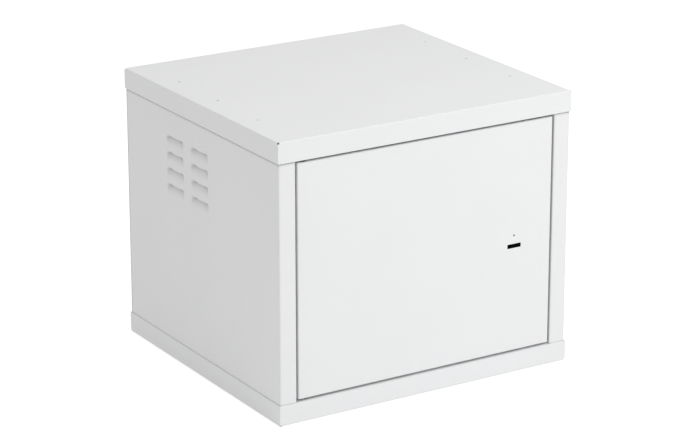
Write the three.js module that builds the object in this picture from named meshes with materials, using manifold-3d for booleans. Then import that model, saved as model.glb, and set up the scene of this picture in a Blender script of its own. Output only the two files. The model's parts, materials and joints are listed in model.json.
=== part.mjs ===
// Phone charging kiosk: a powder-coated sheet-steel cabinet with a flush door, an electric hook lock,
// two racks of phone bays and a USB charger behind each rack.
// Millimetres. Origin at the centre of the underside, +X right, the door faces -Y, +Z up.

import * as THREE from 'three';
import { mergeVertices } from 'three/addons/utils/BufferGeometryUtils.js';
import { ConvexGeometry } from 'three/addons/geometries/ConvexGeometry.js';
import Module from 'manifold-3d';

const wasm = await Module();
wasm.setup();

// ---------------------------------------------------------------- driving dimensions

const WIDTH = 460;
const DEPTH = 420;
const HEIGHT = 390;
const SHEET = 1;
const CLEARANCE = 0.3;
const BEND = 1.5; // radius of a fold, to the middle of the sheet
const BEND_STEPS = 3;
const FLANGE = 29; // height of the cover's and base's outer flanges

const SKIN_X = WIDTH / 2 - SHEET - CLEARANCE; // outer face of a side panel
const SKIN_Y = DEPTH / 2 - SHEET - CLEARANCE; // outer face of the door, stiles and rear panel
const FRONT = -SKIN_Y;
const BODY_BOTTOM = SHEET + CLEARANCE;
const BODY_TOP = HEIGHT - SHEET - CLEARANCE;

const RELIEF_RADIUS = 1.3; // hole where a tray's flanges meet
const RELIEF_INSET = 0.4;

const STILE = 25.2; // width of the side panel's folded front edge
const OPENING_X = SKIN_X - STILE;
const JAMB_DEPTH = 20;
const DOOR_GAP = 3;
const REAR_FLANGE = 20; // the side panel's folded rear edge
const DOOR_X = OPENING_X - DOOR_GAP;
const DOOR_BOTTOM = FLANGE + DOOR_GAP;
const DOOR_TOP = HEIGHT - FLANGE - DOOR_GAP;
const DOOR_DEPTH = 18;
const DOOR_HEM = 12;
const DOOR_LOCK_HEM = 40; // the wider hem that carries the strike
const DOOR_REAR = FRONT + DOOR_DEPTH;

const HINGE_X = -DOOR_X + 10;
const HINGE_Y = FRONT + 7;
const PIN_RADIUS = 2.5;
const BUSH_RADIUS = 4.5;

const JOIN_X = 200; // screw holes that join stacked cabinets
const JOIN_YS = [-107, 0, 107];
const JOIN_RADIUS = 2.1;

const LOUVRE_LENGTH = 46.5;
const LOUVRE_HEIGHT = 12.5;
const LOUVRE_DEPTH = 4.5;
const LOUVRE_END = 5; // length of the sloping end of a louvre
const LOUVRE_PITCH = 23;
const LOUVRE_TOP = 322;
const LOUVRE_ROWS = 4;
const LOUVRE_YS = [0.3, 68.3];

const VENTS = 12; // slots in the rear panel
const VENT_PITCH = 12;
const VENT_Z = 318;

const BUMPER_X = 150;
const BUTTON_X = 140.8;
const BUTTON_Z = 184;
const BUTTON_WIDTH = 22;
const BUTTON_HEIGHT = 6;
const LIGHT_X = 140.5;
const LIGHT_Z = 199;
const LIGHT_RADIUS = 1.2;

const STRIKE_Y = -163; // the bar that the hook catches
const STRIKE_Z = 194;
const HOOK_Y = -143;
const HOOK_Z = 180;
const LOCK_X0 = 176;
const LOCK_X1 = 189;
const LOCK_Y0 = -176;
const LOCK_Y1 = -92;
const LOCK_Z0 = 150;
const LOCK_Z1 = 222;
const PLUNGER_Z = 183.5;
const COIL_X = LOCK_X0 + 7;
const COIL_Y0 = -112; // front of the solenoid's frame
const PLUNGER_TIP = -125;
const CLIP_Y = PLUNGER_TIP + 4.6; // the clip on the plunger that its spring pushes

const SHELF_Z = 190;
const LEVELS = { lower: 3, upper: SHELF_Z + SHEET + CLEARANCE };
const BAYS = 5;
const BAY_PITCH = 62;
const RACK_X = -15; // middle of the racks
const RACK_Y0 = -150;
const RACK_Y1 = 40;
const RACK_HEIGHT = 100;
const RACK_BASE = 3;
const DIVIDER = 1.5;

const CHARGER_WIDTH = 300;
const CHARGER_Y0 = 80;
const CHARGER_Y1 = 160;
const CHARGER_HEIGHT = 30;
const PORT_Z = 14; // height of a port's middle above its level
const MAINS_Y = 120; // where the mains lead enters a charger

const CONTROLLER_LOW = [-222, 60, 4];
const CONTROLLER_HIGH = [-180, 156, 36];
const LOCK_LEAD_X = -190; // where the lock's lead leaves the controller
const LOCK_LEAD_Z = 20;

const INLET_X = 150;
const INLET_Z = 70;
const ROCKER_Y = SKIN_Y - 3; // the rocker's pivot
const ROCKER_Z = INLET_Z + 19.5;
const ROCKER_TILT = 7; // degrees each side of level
const DRAWER_Z = INLET_Z - 19;

const SCREW_X = 216; // the rear panel's screws
const SCREW_ZS = [50, 340];
const SCREW_HOLE = 2.3;

// ---------------------------------------------------------------- solids

function solidOf(geometry) {
  const plain = geometry.clone();
  plain.deleteAttribute('normal');
  plain.deleteAttribute('uv');
  const merged = mergeVertices(plain, 1e-4);
  const vertProperties = new Float32Array(merged.getAttribute('position').array);
  const triVerts = new Uint32Array(merged.getIndex().array);
  return new wasm.Manifold(new wasm.Mesh({ numProp: 3, vertProperties, triVerts }));
}

function box(low, high) {
  const size = high.map((value, axis) => value - low[axis]);
  const geometry = new THREE.BoxGeometry(...size);
  geometry.translate(...high.map((value, axis) => (value + low[axis]) / 2));
  return solidOf(geometry);
}

function rod(radius, start, end, sides = 24) {
  const from = new THREE.Vector3(...start);
  const along = new THREE.Vector3(...end).sub(from);
  const geometry = new THREE.CylinderGeometry(radius, radius, along.length(), sides);
  geometry.translate(0, along.length() / 2, 0);
  const up = new THREE.Vector3(0, 1, 0);
  geometry.applyQuaternion(new THREE.Quaternion().setFromUnitVectors(up, along.clone().normalize()));
  geometry.translate(...start);
  return solidOf(geometry);
}

function shapeOf(outline) {
  if (outline instanceof THREE.Shape) return outline;
  return new THREE.Shape(outline.map((p) => new THREE.Vector2(...p)));
}

// An outline extruded along X (drawn in Y, Z), along Y (drawn in X, Z) or along Z (drawn in X, Y).
function prism(outline, axis, from, to, curveSegments = 6) {
  const options = { depth: to - from, bevelEnabled: false, curveSegments };
  const geometry = new THREE.ExtrudeGeometry(shapeOf(outline), options);
  geometry.translate(0, 0, axis === 'y' ? -to : from);
  const x = new THREE.Vector3(1, 0, 0);
  const y = new THREE.Vector3(0, 1, 0);
  const z = new THREE.Vector3(0, 0, 1);
  const turn = new THREE.Matrix4();
  if (axis === 'x') turn.makeBasis(y, z, x);
  if (axis === 'y') turn.makeBasis(x, z, y.negate());
  geometry.applyMatrix4(turn);
  return solidOf(geometry);
}

function hull(points) {
  return solidOf(new ConvexGeometry(points.map((p) => new THREE.Vector3(...p))));
}

function tube(points, radius, steps, sides = 8) {
  const curve = new THREE.CatmullRomCurve3(points.map((p) => new THREE.Vector3(...p)));
  const section = new THREE.Shape();
  section.absarc(0, 0, radius, 0, Math.PI * 2);
  const options = { extrudePath: curve, steps, bevelEnabled: false, curveSegments: sides / 2 };
  return solidOf(new THREE.ExtrudeGeometry(section, options));
}

function joined(first, ...others) {
  return others.reduce((sum, other) => sum.add(other), first);
}

function cut(first, ...others) {
  return others.reduce((rest, other) => rest.subtract(other), first);
}

// The outline of a sheet folded along a path of [u, v] points through the middle of its thickness.
function folded(path, thickness = SHEET, radius = BEND) {
  const points = path.map((p) => new THREE.Vector2(...p));
  const middle = [];
  const last = points.length - 1;
  points.forEach((corner, index) => {
    const before = index > 0 ? corner.clone().sub(points[index - 1]).normalize() : null;
    const after = index < last ? points[index + 1].clone().sub(corner).normalize() : null;
    if (!before || !after) {
      middle.push({ at: corner, along: before ?? after });
      return;
    }
    const turn = Math.atan2(before.cross(after), before.dot(after));
    const reach = radius * Math.tan(Math.abs(turn) / 2);
    const start = corner.clone().addScaledVector(before, -reach);
    const side = Math.sign(turn);
    const centre = start.clone().add(new THREE.Vector2(-before.y, before.x).multiplyScalar(side * radius));
    for (let step = 0; step <= BEND_STEPS; step += 1) {
      const angle = (turn * step) / BEND_STEPS;
      const along = before.clone().rotateAround(new THREE.Vector2(), angle);
      const at = centre.clone().add(new THREE.Vector2(along.y, -along.x).multiplyScalar(side * radius));
      middle.push({ at, along });
    }
  });
  const face = (side) => {
    const reach = (side * thickness) / 2;
    return middle.map(({ at, along }) => [at.x - along.y * reach, at.y + along.x * reach]);
  };
  return [...face(1), ...face(-1).reverse()];
}

function roundedSlot(width, height, x, z) {
  const shape = new THREE.Shape();
  const radius = Math.min(width, height) / 2;
  const reachX = width / 2 - radius;
  const reachZ = height / 2 - radius;
  const corners = [[1, 1], [-1, 1], [-1, -1], [1, -1]];
  corners.forEach(([sx, sz], quarter) => {
    const start = (quarter * Math.PI) / 2;
    shape.absarc(x + sx * reachX, z + sz * reachZ, radius, start, start + Math.PI / 2);
  });
  return shape;
}

// ---------------------------------------------------------------- finishes

function finish(color, roughness, metalness) {
  return () => new THREE.MeshStandardMaterial({ color, roughness, metalness });
}

const powderCoat = finish(0xe9ebee, 0.5, 0.0);
const galvanised = finish(0xb4b8bb, 0.42, 0.85);
const brightSteel = finish(0xc9ccce, 0.28, 0.95);
const blackPlastic = finish(0x17181a, 0.45, 0.0);
const buttonBlack = finish(0x050505, 0.3, 0.0);
const greyPlastic = finish(0x8d9194, 0.5, 0.0);
const rubber = finish(0x1b1b1c, 0.85, 0.0);
const board = finish(0x1f5a3a, 0.5, 0.0);
const cableSheath = finish(0x222427, 0.6, 0.0);
const lens = finish(0x9da2a5, 0.2, 0.0);

const kiosk = new THREE.Group();

function add(name, solid, material) {
  const { vertProperties, triVerts } = solid.getMesh();
  const geometry = new THREE.BufferGeometry();
  geometry.setAttribute('position', new THREE.BufferAttribute(vertProperties, 3));
  geometry.setIndex(new THREE.BufferAttribute(triVerts, 1));
  geometry.computeVertexNormals();
  const mesh = new THREE.Mesh(geometry, material());
  mesh.name = name;
  kiosk.add(mesh);
}

// ---------------------------------------------------------------- cabinet shell

function joinHoles(low, high) {
  const holes = [];
  for (const x of [-JOIN_X, JOIN_X]) {
    for (const y of JOIN_YS) holes.push(rod(JOIN_RADIUS, [x, y, low], [x, y, high], 12));
  }
  return holes;
}

// A shallow folded tray, open on one side, with a relief hole where its flanges meet at each corner.
function tray(low, high, opensDown) {
  const x = WIDTH / 2;
  const y = DEPTH / 2;
  const skin = opensDown ? high : low;
  const inner = opensDown ? [low - 1, high - SHEET] : [low + SHEET, high + 1];
  const shell = box([-x, -y, low], [x, y, high]);
  const hollow = box([-x + SHEET, -y + SHEET, inner[0]], [x - SHEET, y - SHEET, inner[1]]);
  const reliefs = [];
  for (const sx of [-1, 1]) {
    for (const sy of [-1, 1]) {
      const corner = [sx * (x - RELIEF_INSET), sy * (y - RELIEF_INSET)];
      reliefs.push(rod(RELIEF_RADIUS, [...corner, skin - 1.8], [...corner, skin + 1.8], 12));
    }
  }
  return cut(shell, hollow, ...reliefs, ...joinHoles(low - 1, high + 1));
}

// The hollow side of an inward-pressed louvre, and its pressed metal when it is grown by one sheet.
function louvreWedge(side, y, top, grow) {
  const outside = side * (SKIN_X + (grow ? -0.2 : 0.5));
  const inside = side * (SKIN_X - LOUVRE_DEPTH - grow);
  const half = LOUVRE_LENGTH / 2 + grow;
  const reach = half - LOUVRE_END;
  const upper = grow ? top : top + 0.6;
  const foot = top - LOUVRE_HEIGHT - grow * 0.6;
  const rim = [[half, upper], [-half, upper], [half - 2, foot], [2 - half, foot]];
  const points = rim.map(([u, z]) => [outside, y + u, z]);
  for (const u of [reach, -reach]) {
    points.push([inside, y + u, upper], [inside, y + u, top - 1.5]);
  }
  return hull(points);
}

function screwHole(x, z, y) {
  return rod(SCREW_HOLE, [x, y - 2, z], [x, y + 2, z], 16);
}

function sidePanel(side) {
  const jambX = side * (OPENING_X + SHEET / 2);
  const skinX = side * (SKIN_X - SHEET / 2);
  const frontY = FRONT + SHEET / 2;
  const rearY = SKIN_Y - SHEET * 1.5 - CLEARANCE;
  const path = [
    [jambX, FRONT + JAMB_DEPTH],
    [jambX, frontY],
    [skinX, frontY],
    [skinX, rearY],
    [side * (SKIN_X - REAR_FLANGE), rearY],
  ];
  let panel = prism(folded(path), 'z', BODY_BOTTOM, BODY_TOP);
  const edge = [side * (SKIN_X - SHEET / 2), side * (SKIN_X - 40)].sort((a, b) => a - b);
  for (const z of [BODY_BOTTOM, BODY_TOP - SHEET]) {
    panel = panel.add(box([edge[0], FRONT + 25, z], [edge[1], rearY - 8, z + SHEET]));
  }
  const sites = [];
  for (const y of LOUVRE_YS) {
    for (let row = 0; row < LOUVRE_ROWS; row += 1) sites.push([y, LOUVRE_TOP - row * LOUVRE_PITCH]);
  }
  panel = joined(panel, ...sites.map(([y, top]) => louvreWedge(side, y, top, SHEET)));
  panel = cut(panel, ...sites.map(([y, top]) => louvreWedge(side, y, top, 0)));
  const screwHoles = SCREW_ZS.map((z) => screwHole(side * SCREW_X, z, rearY));
  return cut(panel, ...screwHoles, ...joinHoles(0, 4), ...joinHoles(HEIGHT - 4, HEIGHT));
}

function rearPanel() {
  const y = [SKIN_Y - SHEET, SKIN_Y];
  const reach = SKIN_X - CLEARANCE;
  const panel = box([-reach, y[0], BODY_BOTTOM + CLEARANCE], [reach, y[1], BODY_TOP - CLEARANCE]);
  const openings = [box([INLET_X - 14, y[0] - 5, INLET_Z - 30], [INLET_X + 14, y[1] + 5, INLET_Z + 30])];
  for (const x of [-SCREW_X, SCREW_X]) {
    for (const z of SCREW_ZS) openings.push(screwHole(x, z, SKIN_Y));
  }
  for (let index = 0; index < VENTS; index += 1) {
    const x = (index - (VENTS - 1) / 2) * VENT_PITCH;
    openings.push(prism(roundedSlot(3.2, 40, x, VENT_Z), 'y', y[0] - 5, y[1] + 5, 1));
  }
  return cut(panel, ...openings);
}

// A rod on the door's hinge axis.
function onHinge(radius, from, to) {
  return rod(radius, [HINGE_X, HINGE_Y, from], [HINGE_X, HINGE_Y, to]);
}

// The rail behind the cover's or base's front flange: it holds a hinge pin and stops the door.
function doorRail(mirror) {
  const z = (value) => (mirror ? HEIGHT - value : value);
  const frontY = FRONT + SHEET / 2;
  const shelfZ = HEIGHT - FLANGE + SHEET / 2;
  const path = [
    [FRONT + 18, BODY_TOP - SHEET / 2],
    [frontY, BODY_TOP - SHEET / 2],
    [frontY, shelfZ],
    [FRONT + 22.2, shelfZ],
    [FRONT + 22.2, shelfZ - 15.5],
  ];
  const length = OPENING_X - CLEARANCE;
  const rail = prism(folded(path.map(([y, height]) => [y, z(height)])), 'x', -length, length);
  const lip = [z(shelfZ - 20), z(shelfZ - 2.2)].sort((a, b) => a - b);
  const lipCut = box([-length - 1, FRONT + 20, lip[0]], [-180, FRONT + 25, lip[1]]);
  const pinHole = onHinge(PIN_RADIUS + CLEARANCE, z(shelfZ) - 3, z(shelfZ) + 3);
  return cut(rail, lipCut, pinHole);
}

function hingePin(mirror) {
  const z = (value) => (mirror ? HEIGHT - value : value);
  const shelfTop = HEIGHT - FLANGE + SHEET;
  const shank = onHinge(PIN_RADIUS, z(DOOR_TOP - 8), z(shelfTop + 1));
  const head = onHinge(4.5, z(shelfTop + CLEARANCE), z(shelfTop + 2.4));
  return shank.add(head);
}

function rearScrew(x, z) {
  const head = rod(4, [x, SKIN_Y + CLEARANCE, z], [x, SKIN_Y + 2.3, z], 20);
  const shank = rod(2, [x, SKIN_Y - 8, z], [x, SKIN_Y + 1, z], 16);
  const recess = [box([x - 0.5, SKIN_Y + 1.3, z - 2], [x + 0.5, SKIN_Y + 3, z + 2])];
  recess.push(box([x - 2, SKIN_Y + 1.3, z - 0.5], [x + 2, SKIN_Y + 3, z + 0.5]));
  return cut(head.add(shank), ...recess);
}

add('top_cover', tray(HEIGHT - FLANGE, HEIGHT, true), powderCoat);
add('base_tray', tray(0, FLANGE, false), powderCoat);
add('left_side_panel', sidePanel(-1), powderCoat);
add('right_side_panel', sidePanel(1), powderCoat);
add('rear_panel', rearPanel(), powderCoat);
add('header_rail', doorRail(false), powderCoat);
add('sill_rail', doorRail(true), powderCoat);
add('hinge_pin_upper', hingePin(false), brightSteel);
add('hinge_pin_lower', hingePin(true), brightSteel);
[[-1, 0], [1, 0], [-1, 1], [1, 1]].forEach(([side, row], index) => {
  add(`rear_screw_${index + 1}`, rearScrew(side * SCREW_X, SCREW_ZS[row]), brightSteel);
});

// ---------------------------------------------------------------- door

function doorPanel() {
  const pan = box([-DOOR_X, FRONT, DOOR_BOTTOM], [DOOR_X, DOOR_REAR, DOOR_TOP]);
  const inner = DOOR_X - SHEET;
  const innerTop = DOOR_TOP - SHEET;
  const hollow = box([-inner, FRONT + SHEET, DOOR_BOTTOM + SHEET], [inner, DOOR_REAR - SHEET, innerTop]);
  const low = [-inner + DOOR_HEM, DOOR_REAR - 2, DOOR_BOTTOM + SHEET + DOOR_HEM];
  const high = [inner - DOOR_LOCK_HEM, DOOR_REAR + 1, innerTop - DOOR_HEM];
  const halfWidth = BUTTON_WIDTH / 2;
  const halfHeight = BUTTON_HEIGHT / 2;
  const buttonHole = box(
    [BUTTON_X - halfWidth, FRONT - 1, BUTTON_Z - halfHeight],
    [BUTTON_X + halfWidth, FRONT + 2, BUTTON_Z + halfHeight],
  );
  const lightHole = rod(LIGHT_RADIUS + 0.2, [LIGHT_X, FRONT - 1, LIGHT_Z], [LIGHT_X, FRONT + 2, LIGHT_Z]);
  const bushHole = onHinge(BUSH_RADIUS + CLEARANCE, 0, HEIGHT);
  return cut(pan, hollow, box(low, high), buttonHole, lightHole, bushHole);
}

function hingeBush(mirror) {
  const z = (value) => (mirror ? HEIGHT - value : value);
  const flangeTop = DOOR_TOP - SHEET - CLEARANCE;
  const body = onHinge(BUSH_RADIUS, z(DOOR_TOP - 7), z(DOOR_TOP + 0.2));
  const flange = onHinge(6, z(flangeTop - 2), z(flangeTop));
  const bore = onHinge(PIN_RADIUS + 0.1, z(DOOR_TOP - 8), z(DOOR_TOP + 1));
  return cut(body.add(flange), bore);
}

// A hat-shaped channel glued upright to the back of the door's face.
function doorStiffener() {
  const back = DOOR_REAR - 3;
  const face = FRONT + SHEET + CLEARANCE + SHEET / 2;
  const path = [[-38, face], [-22, face], [-16, back], [16, back], [22, face], [38, face]];
  return prism(folded(path), 'z', DOOR_BOTTOM + 14, DOOR_TOP - 14);
}

function doorBumper(z) {
  const profile = [[0, 0], [4.2, 0], [4.2, 1], [3.6, 2.2], [2.4, 2.9], [0, 3]];
  const pad = new THREE.LatheGeometry(profile.map((p) => new THREE.Vector2(...p)), 20);
  pad.translate(BUMPER_X, DOOR_REAR + CLEARANCE, z);
  return solidOf(pad);
}

function doorStrike() {
  const seat = DOOR_REAR + CLEARANCE;
  const plate = box([164, seat, STRIKE_Z - 14], [199, seat + 2, STRIKE_Z + 14]);
  const legs = [171.8, 194.2];
  const root = DOOR_REAR + 1;
  const bar = rod(2, [legs[0] - 1.6, STRIKE_Y, STRIKE_Z], [legs[1] + 1.6, STRIKE_Y, STRIKE_Z], 16);
  const uprights = legs.map((x) => rod(2, [x, root, STRIKE_Z], [x, STRIKE_Y + 1.6, STRIKE_Z], 16));
  return joined(plate, bar, ...uprights);
}

function buttonHousing() {
  const from = FRONT + SHEET + CLEARANCE;
  const back = FRONT + 12.7;
  const shell = box([BUTTON_X - 17, from, BUTTON_Z - 9], [BUTTON_X + 17, back, LIGHT_Z + 7]);
  const guideLow = [BUTTON_X - 12.6, from - 1, BUTTON_Z - 4.6];
  const guide = box(guideLow, [BUTTON_X + 12.6, back + 1, BUTTON_Z + 4.6]);
  const lightBore = rod(LIGHT_RADIUS + 0.5, [LIGHT_X, from - 1, LIGHT_Z], [LIGHT_X, back + 1, LIGHT_Z]);
  return cut(shell, guide, lightBore);
}

function releaseButton() {
  const halfWidth = BUTTON_WIDTH / 2 - CLEARANCE;
  const halfHeight = BUTTON_HEIGHT / 2 - CLEARANCE;
  const cap = prism(
    [
      [FRONT + 0.3, BUTTON_Z - halfHeight + 0.5],
      [FRONT + 0.8, BUTTON_Z - halfHeight],
      [FRONT + 9.7, BUTTON_Z - halfHeight],
      [FRONT + 9.7, BUTTON_Z + halfHeight],
      [FRONT + 0.8, BUTTON_Z + halfHeight],
      [FRONT + 0.3, BUTTON_Z + halfHeight - 0.5],
    ],
    'x',
    BUTTON_X - halfWidth,
    BUTTON_X + halfWidth,
  );
  const from = FRONT + SHEET + CLEARANCE + 0.2;
  const shoulderLow = [BUTTON_X - 12.2, from, BUTTON_Z - 4.2];
  const shoulder = box(shoulderLow, [BUTTON_X + 12.2, from + 1.5, BUTTON_Z + 4.2]);
  return cap.add(shoulder);
}

function buttonBoard() {
  const from = FRONT + 13;
  const plate = box([BUTTON_X - 16, from, BUTTON_Z - 8], [BUTTON_X + 16, from + 1.6, LIGHT_Z + 6]);
  const socket = box([BUTTON_X - 14, from + 1.5, LIGHT_Z - 6], [BUTTON_X - 6, from + 4, LIGHT_Z + 3]);
  return plate.add(socket);
}

function statusLight() {
  return rod(LIGHT_RADIUS, [LIGHT_X, FRONT - 0.1, LIGHT_Z], [LIGHT_X, FRONT + 12.4, LIGHT_Z], 20);
}

// The lead on the door, from the button's board along the lower part of the pan to the hinge side.
function doorHarness() {
  const y = DOOR_REAR - 6;
  return tube(
    [
      [BUTTON_X - 12, FRONT + 18.6, LIGHT_Z - 9],
      [BUTTON_X - 20, y + 1, 150],
      [BUTTON_X - 36, y, 90],
      [70, y, 66],
      [50, y, 62],
    ],
    1.6,
    16,
    6,
  );
}

add('door_panel', doorPanel(), powderCoat);
add('door_stiffener', doorStiffener(), galvanised);
add('hinge_bush_upper', hingeBush(false), blackPlastic);
add('hinge_bush_lower', hingeBush(true), blackPlastic);
add('door_strike', doorStrike(), brightSteel);
add('door_bumper_upper', doorBumper(DOOR_TOP - 7), rubber);
add('door_bumper_lower', doorBumper(DOOR_BOTTOM + 7), rubber);
add('button_housing', buttonHousing(), blackPlastic);
add('release_button', releaseButton(), buttonBlack);
add('button_board', buttonBoard(), board);
add('status_light', statusLight(), lens);
add('door_harness', doorHarness(), cableSheath);

// ---------------------------------------------------------------- lock

function mouth(x0, x1) {
  return box([x0, LOCK_Y0 - 1, STRIKE_Z - 4.5], [x1, STRIKE_Y + 5, STRIKE_Z + 4.5]);
}

function lockCase() {
  const wall = 1.2;
  const shell = box([LOCK_X0, LOCK_Y0, LOCK_Z0], [LOCK_X1, LOCK_Y1, LOCK_Z1]);
  const hollowLow = [LOCK_X0 + wall, LOCK_Y0 + wall, LOCK_Z0 + wall];
  const hollow = box(hollowLow, [LOCK_X1 + 1, LOCK_Y1 - wall, LOCK_Z1 - wall]);
  const pivot = rod(2.5, [LOCK_X0 + 0.5, HOOK_Y, HOOK_Z], [LOCK_X1, HOOK_Y, HOOK_Z]);
  const cableHole = rod(4.5, [COIL_X, LOCK_Y1 - 3, PLUNGER_Z], [COIL_X, LOCK_Y1 + 3, PLUNGER_Z]);
  return cut(shell, hollow, mouth(LOCK_X0 - 1, LOCK_X1 + 1), cableHole).add(pivot);
}

function lockLid() {
  const x0 = LOCK_X1 + CLEARANCE;
  const plate = box([x0, LOCK_Y0, LOCK_Z0], [x0 + 1.2, LOCK_Y1, LOCK_Z1]);
  return cut(plate, mouth(x0 - 1, x0 + 2));
}

function lockBracket() {
  const thickness = 1.5;
  const x = LOCK_X1 + CLEARANCE + 1.2 + CLEARANCE + thickness / 2;
  const wallX = SKIN_X - SHEET - CLEARANCE - thickness / 2;
  const path = [[x, -154], [x, -97], [wallX, -97], [wallX, -78]];
  return prism(folded(path, thickness, 2), 'z', LOCK_Z0 + 6, LOCK_Z1 - 6);
}

// A claw on an arm: its curved end crosses the lock's mouth in front of the strike bar when it turns.
function lockHook() {
  const inner = 27.2;
  const outer = 31;
  const [tip, heel, root] = [8, -46, -24]; // degrees round the pivot: the claw's point, its back and its root
  const radians = Math.PI / 180;
  const at = (radius, angle) => [
    HOOK_Y - radius * Math.cos(angle * radians),
    HOOK_Z + radius * Math.sin(angle * radians),
  ];
  const steps = 8;
  const outline = [];
  for (let step = 0; step <= steps; step += 1) outline.push(at(outer, heel + ((tip - heel) * step) / steps));
  for (let step = 0; step <= steps; step += 1) outline.push(at(inner, tip + ((root - tip) * step) / steps));
  outline.push(at(7, 0), at(7, 60), at(7, 120));
  const tail = 36 * radians;
  const along = [Math.cos(tail), Math.sin(tail)];
  const tailAt = (radius, sideways) => [
    HOOK_Y + radius * along[0] - sideways * along[1],
    HOOK_Z + radius * along[1] + sideways * along[0],
  ];
  outline.push(tailAt(6, 2.5), tailAt(17, 2.5), tailAt(17, -2.5), tailAt(6.5, -2.5));
  outline.push(at(7, 210), at(7, 260), at(7, 300));
  const claw = prism(outline, 'x', LOCK_X0 + 4, LOCK_X0 + 7.5);
  const hub = rod(6.6, [LOCK_X0 + 2, HOOK_Y, HOOK_Z], [LOCK_X1 - 1, HOOK_Y, HOOK_Z], 24);
  const bore = rod(2.8, [LOCK_X0, HOOK_Y, HOOK_Z], [LOCK_X1 + 1, HOOK_Y, HOOK_Z], 24);
  return cut(claw.add(hub), bore);
}

function solenoid() {
  const frame = box([COIL_X - 5, COIL_Y0, PLUNGER_Z - 8], [COIL_X + 5, LOCK_Y1 - 3, PLUNGER_Z + 8]);
  const coil = rod(4.9, [COIL_X, COIL_Y0 + 1.5, PLUNGER_Z], [COIL_X, LOCK_Y1 - 5, PLUNGER_Z], 24);
  const windowsLow = [COIL_X - 6, COIL_Y0 + 1.5, PLUNGER_Z - 6.5];
  const windows = box(windowsLow, [COIL_X + 6, LOCK_Y1 - 4.5, PLUNGER_Z + 6.5]);
  const bore = rod(3.3, [COIL_X, COIL_Y0 - 1, PLUNGER_Z], [COIL_X, LOCK_Y1 - 5.6, PLUNGER_Z], 24);
  return cut(cut(frame, windows).add(coil), bore);
}

function solenoidPlunger() {
  const nose = rod(2, [COIL_X, PLUNGER_TIP, PLUNGER_Z], [COIL_X, COIL_Y0 - 1, PLUNGER_Z], 20);
  const clip = rod(4, [COIL_X, CLIP_Y, PLUNGER_Z], [COIL_X, CLIP_Y + 1, PLUNGER_Z], 20);
  const core = rod(3, [COIL_X, COIL_Y0 - 1.5, PLUNGER_Z], [COIL_X, COIL_Y0 + 12, PLUNGER_Z], 20);
  return joined(nose, clip, core);
}

// A short coil spring between the solenoid's frame and the clip on the plunger.
function plungerSpring() {
  const turns = 3.5;
  const length = COIL_Y0 - CLIP_Y - 3;
  const points = [];
  for (let step = 0; step <= turns * 12; step += 1) {
    const angle = (step / 12) * Math.PI * 2;
    const y = COIL_Y0 - 0.9 - (step / (turns * 12)) * length;
    points.push([COIL_X + 3.9 * Math.cos(angle), y, PLUNGER_Z + 3.9 * Math.sin(angle)]);
  }
  return tube(points, 0.3, turns * 10, 4);
}

add('lock_bracket', lockBracket(), galvanised);
add('lock_case', lockCase(), galvanised);
add('lock_lid', lockLid(), galvanised);
add('lock_hook', lockHook(), brightSteel);
add('solenoid', solenoid(), brightSteel);
add('solenoid_plunger', solenoidPlunger(), brightSteel);
add('plunger_spring', plungerSpring(), brightSteel);

// ---------------------------------------------------------------- shelf and racks

function shelf() {
  const x = SKIN_X - SHEET - 5;
  const [front, back] = [-165, 168];
  const deck = box([-x, front, SHELF_Z], [x, back, SHELF_Z + SHEET]);
  const frontEdge = box([-x, front, SHELF_Z - 15], [x, front + SHEET, SHELF_Z + 0.5]);
  const rearEdge = box([-x, back - SHEET, SHELF_Z - 15], [x, back, SHELF_Z + 0.5]);
  const lockCorner = box([162, front - 1, SHELF_Z - 20], [x + 1, -68, SHELF_Z + 5]);
  return cut(joined(deck, frontEdge, rearEdge), lockCorner);
}

function shelfBracket(side) {
  const wallX = side * (SKIN_X - SHEET - CLEARANCE - SHEET / 2);
  const z = SHELF_Z - CLEARANCE - SHEET / 2;
  const path = [[wallX, z - 22], [wallX, z], [side * 206, z]];
  const front = side < 0 ? -155 : -60;
  return prism(folded(path), 'y', front, 160);
}

// A base with upright dividers: one bay for each phone.
function phoneRack(level) {
  const half = (BAYS * BAY_PITCH + DIVIDER) / 2;
  const base = box([RACK_X - half, RACK_Y0, level], [RACK_X + half, RACK_Y1, level + RACK_BASE]);
  const backStop = box([RACK_X - half, RACK_Y1 - 2.5, level], [RACK_X + half, RACK_Y1, level + 9]);
  const frontStop = box([RACK_X - half, RACK_Y0, level], [RACK_X + half, RACK_Y0 + 2.5, level + 6]);
  const fence = new THREE.Shape();
  fence.moveTo(RACK_Y0, level + 1);
  fence.lineTo(RACK_Y1, level + 1);
  fence.lineTo(RACK_Y1, level + RACK_HEIGHT - 14);
  fence.quadraticCurveTo(RACK_Y1, level + RACK_HEIGHT, RACK_Y1 - 14, level + RACK_HEIGHT);
  fence.lineTo(RACK_Y0 + 60, level + RACK_HEIGHT);
  fence.bezierCurveTo(RACK_Y0 + 26, level + RACK_HEIGHT, RACK_Y0 + 24, level + 34, RACK_Y0, level + 28);
  const dividers = [];
  for (let index = 0; index <= BAYS; index += 1) {
    const x = RACK_X - half + index * BAY_PITCH;
    dividers.push(prism(fence, 'x', x, x + DIVIDER, 8));
  }
  return joined(base, backStop, frontStop, ...dividers);
}

function bayX(index) {
  return RACK_X + (index - (BAYS - 1) / 2) * BAY_PITCH;
}

// ---------------------------------------------------------------- chargers and wiring

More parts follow.
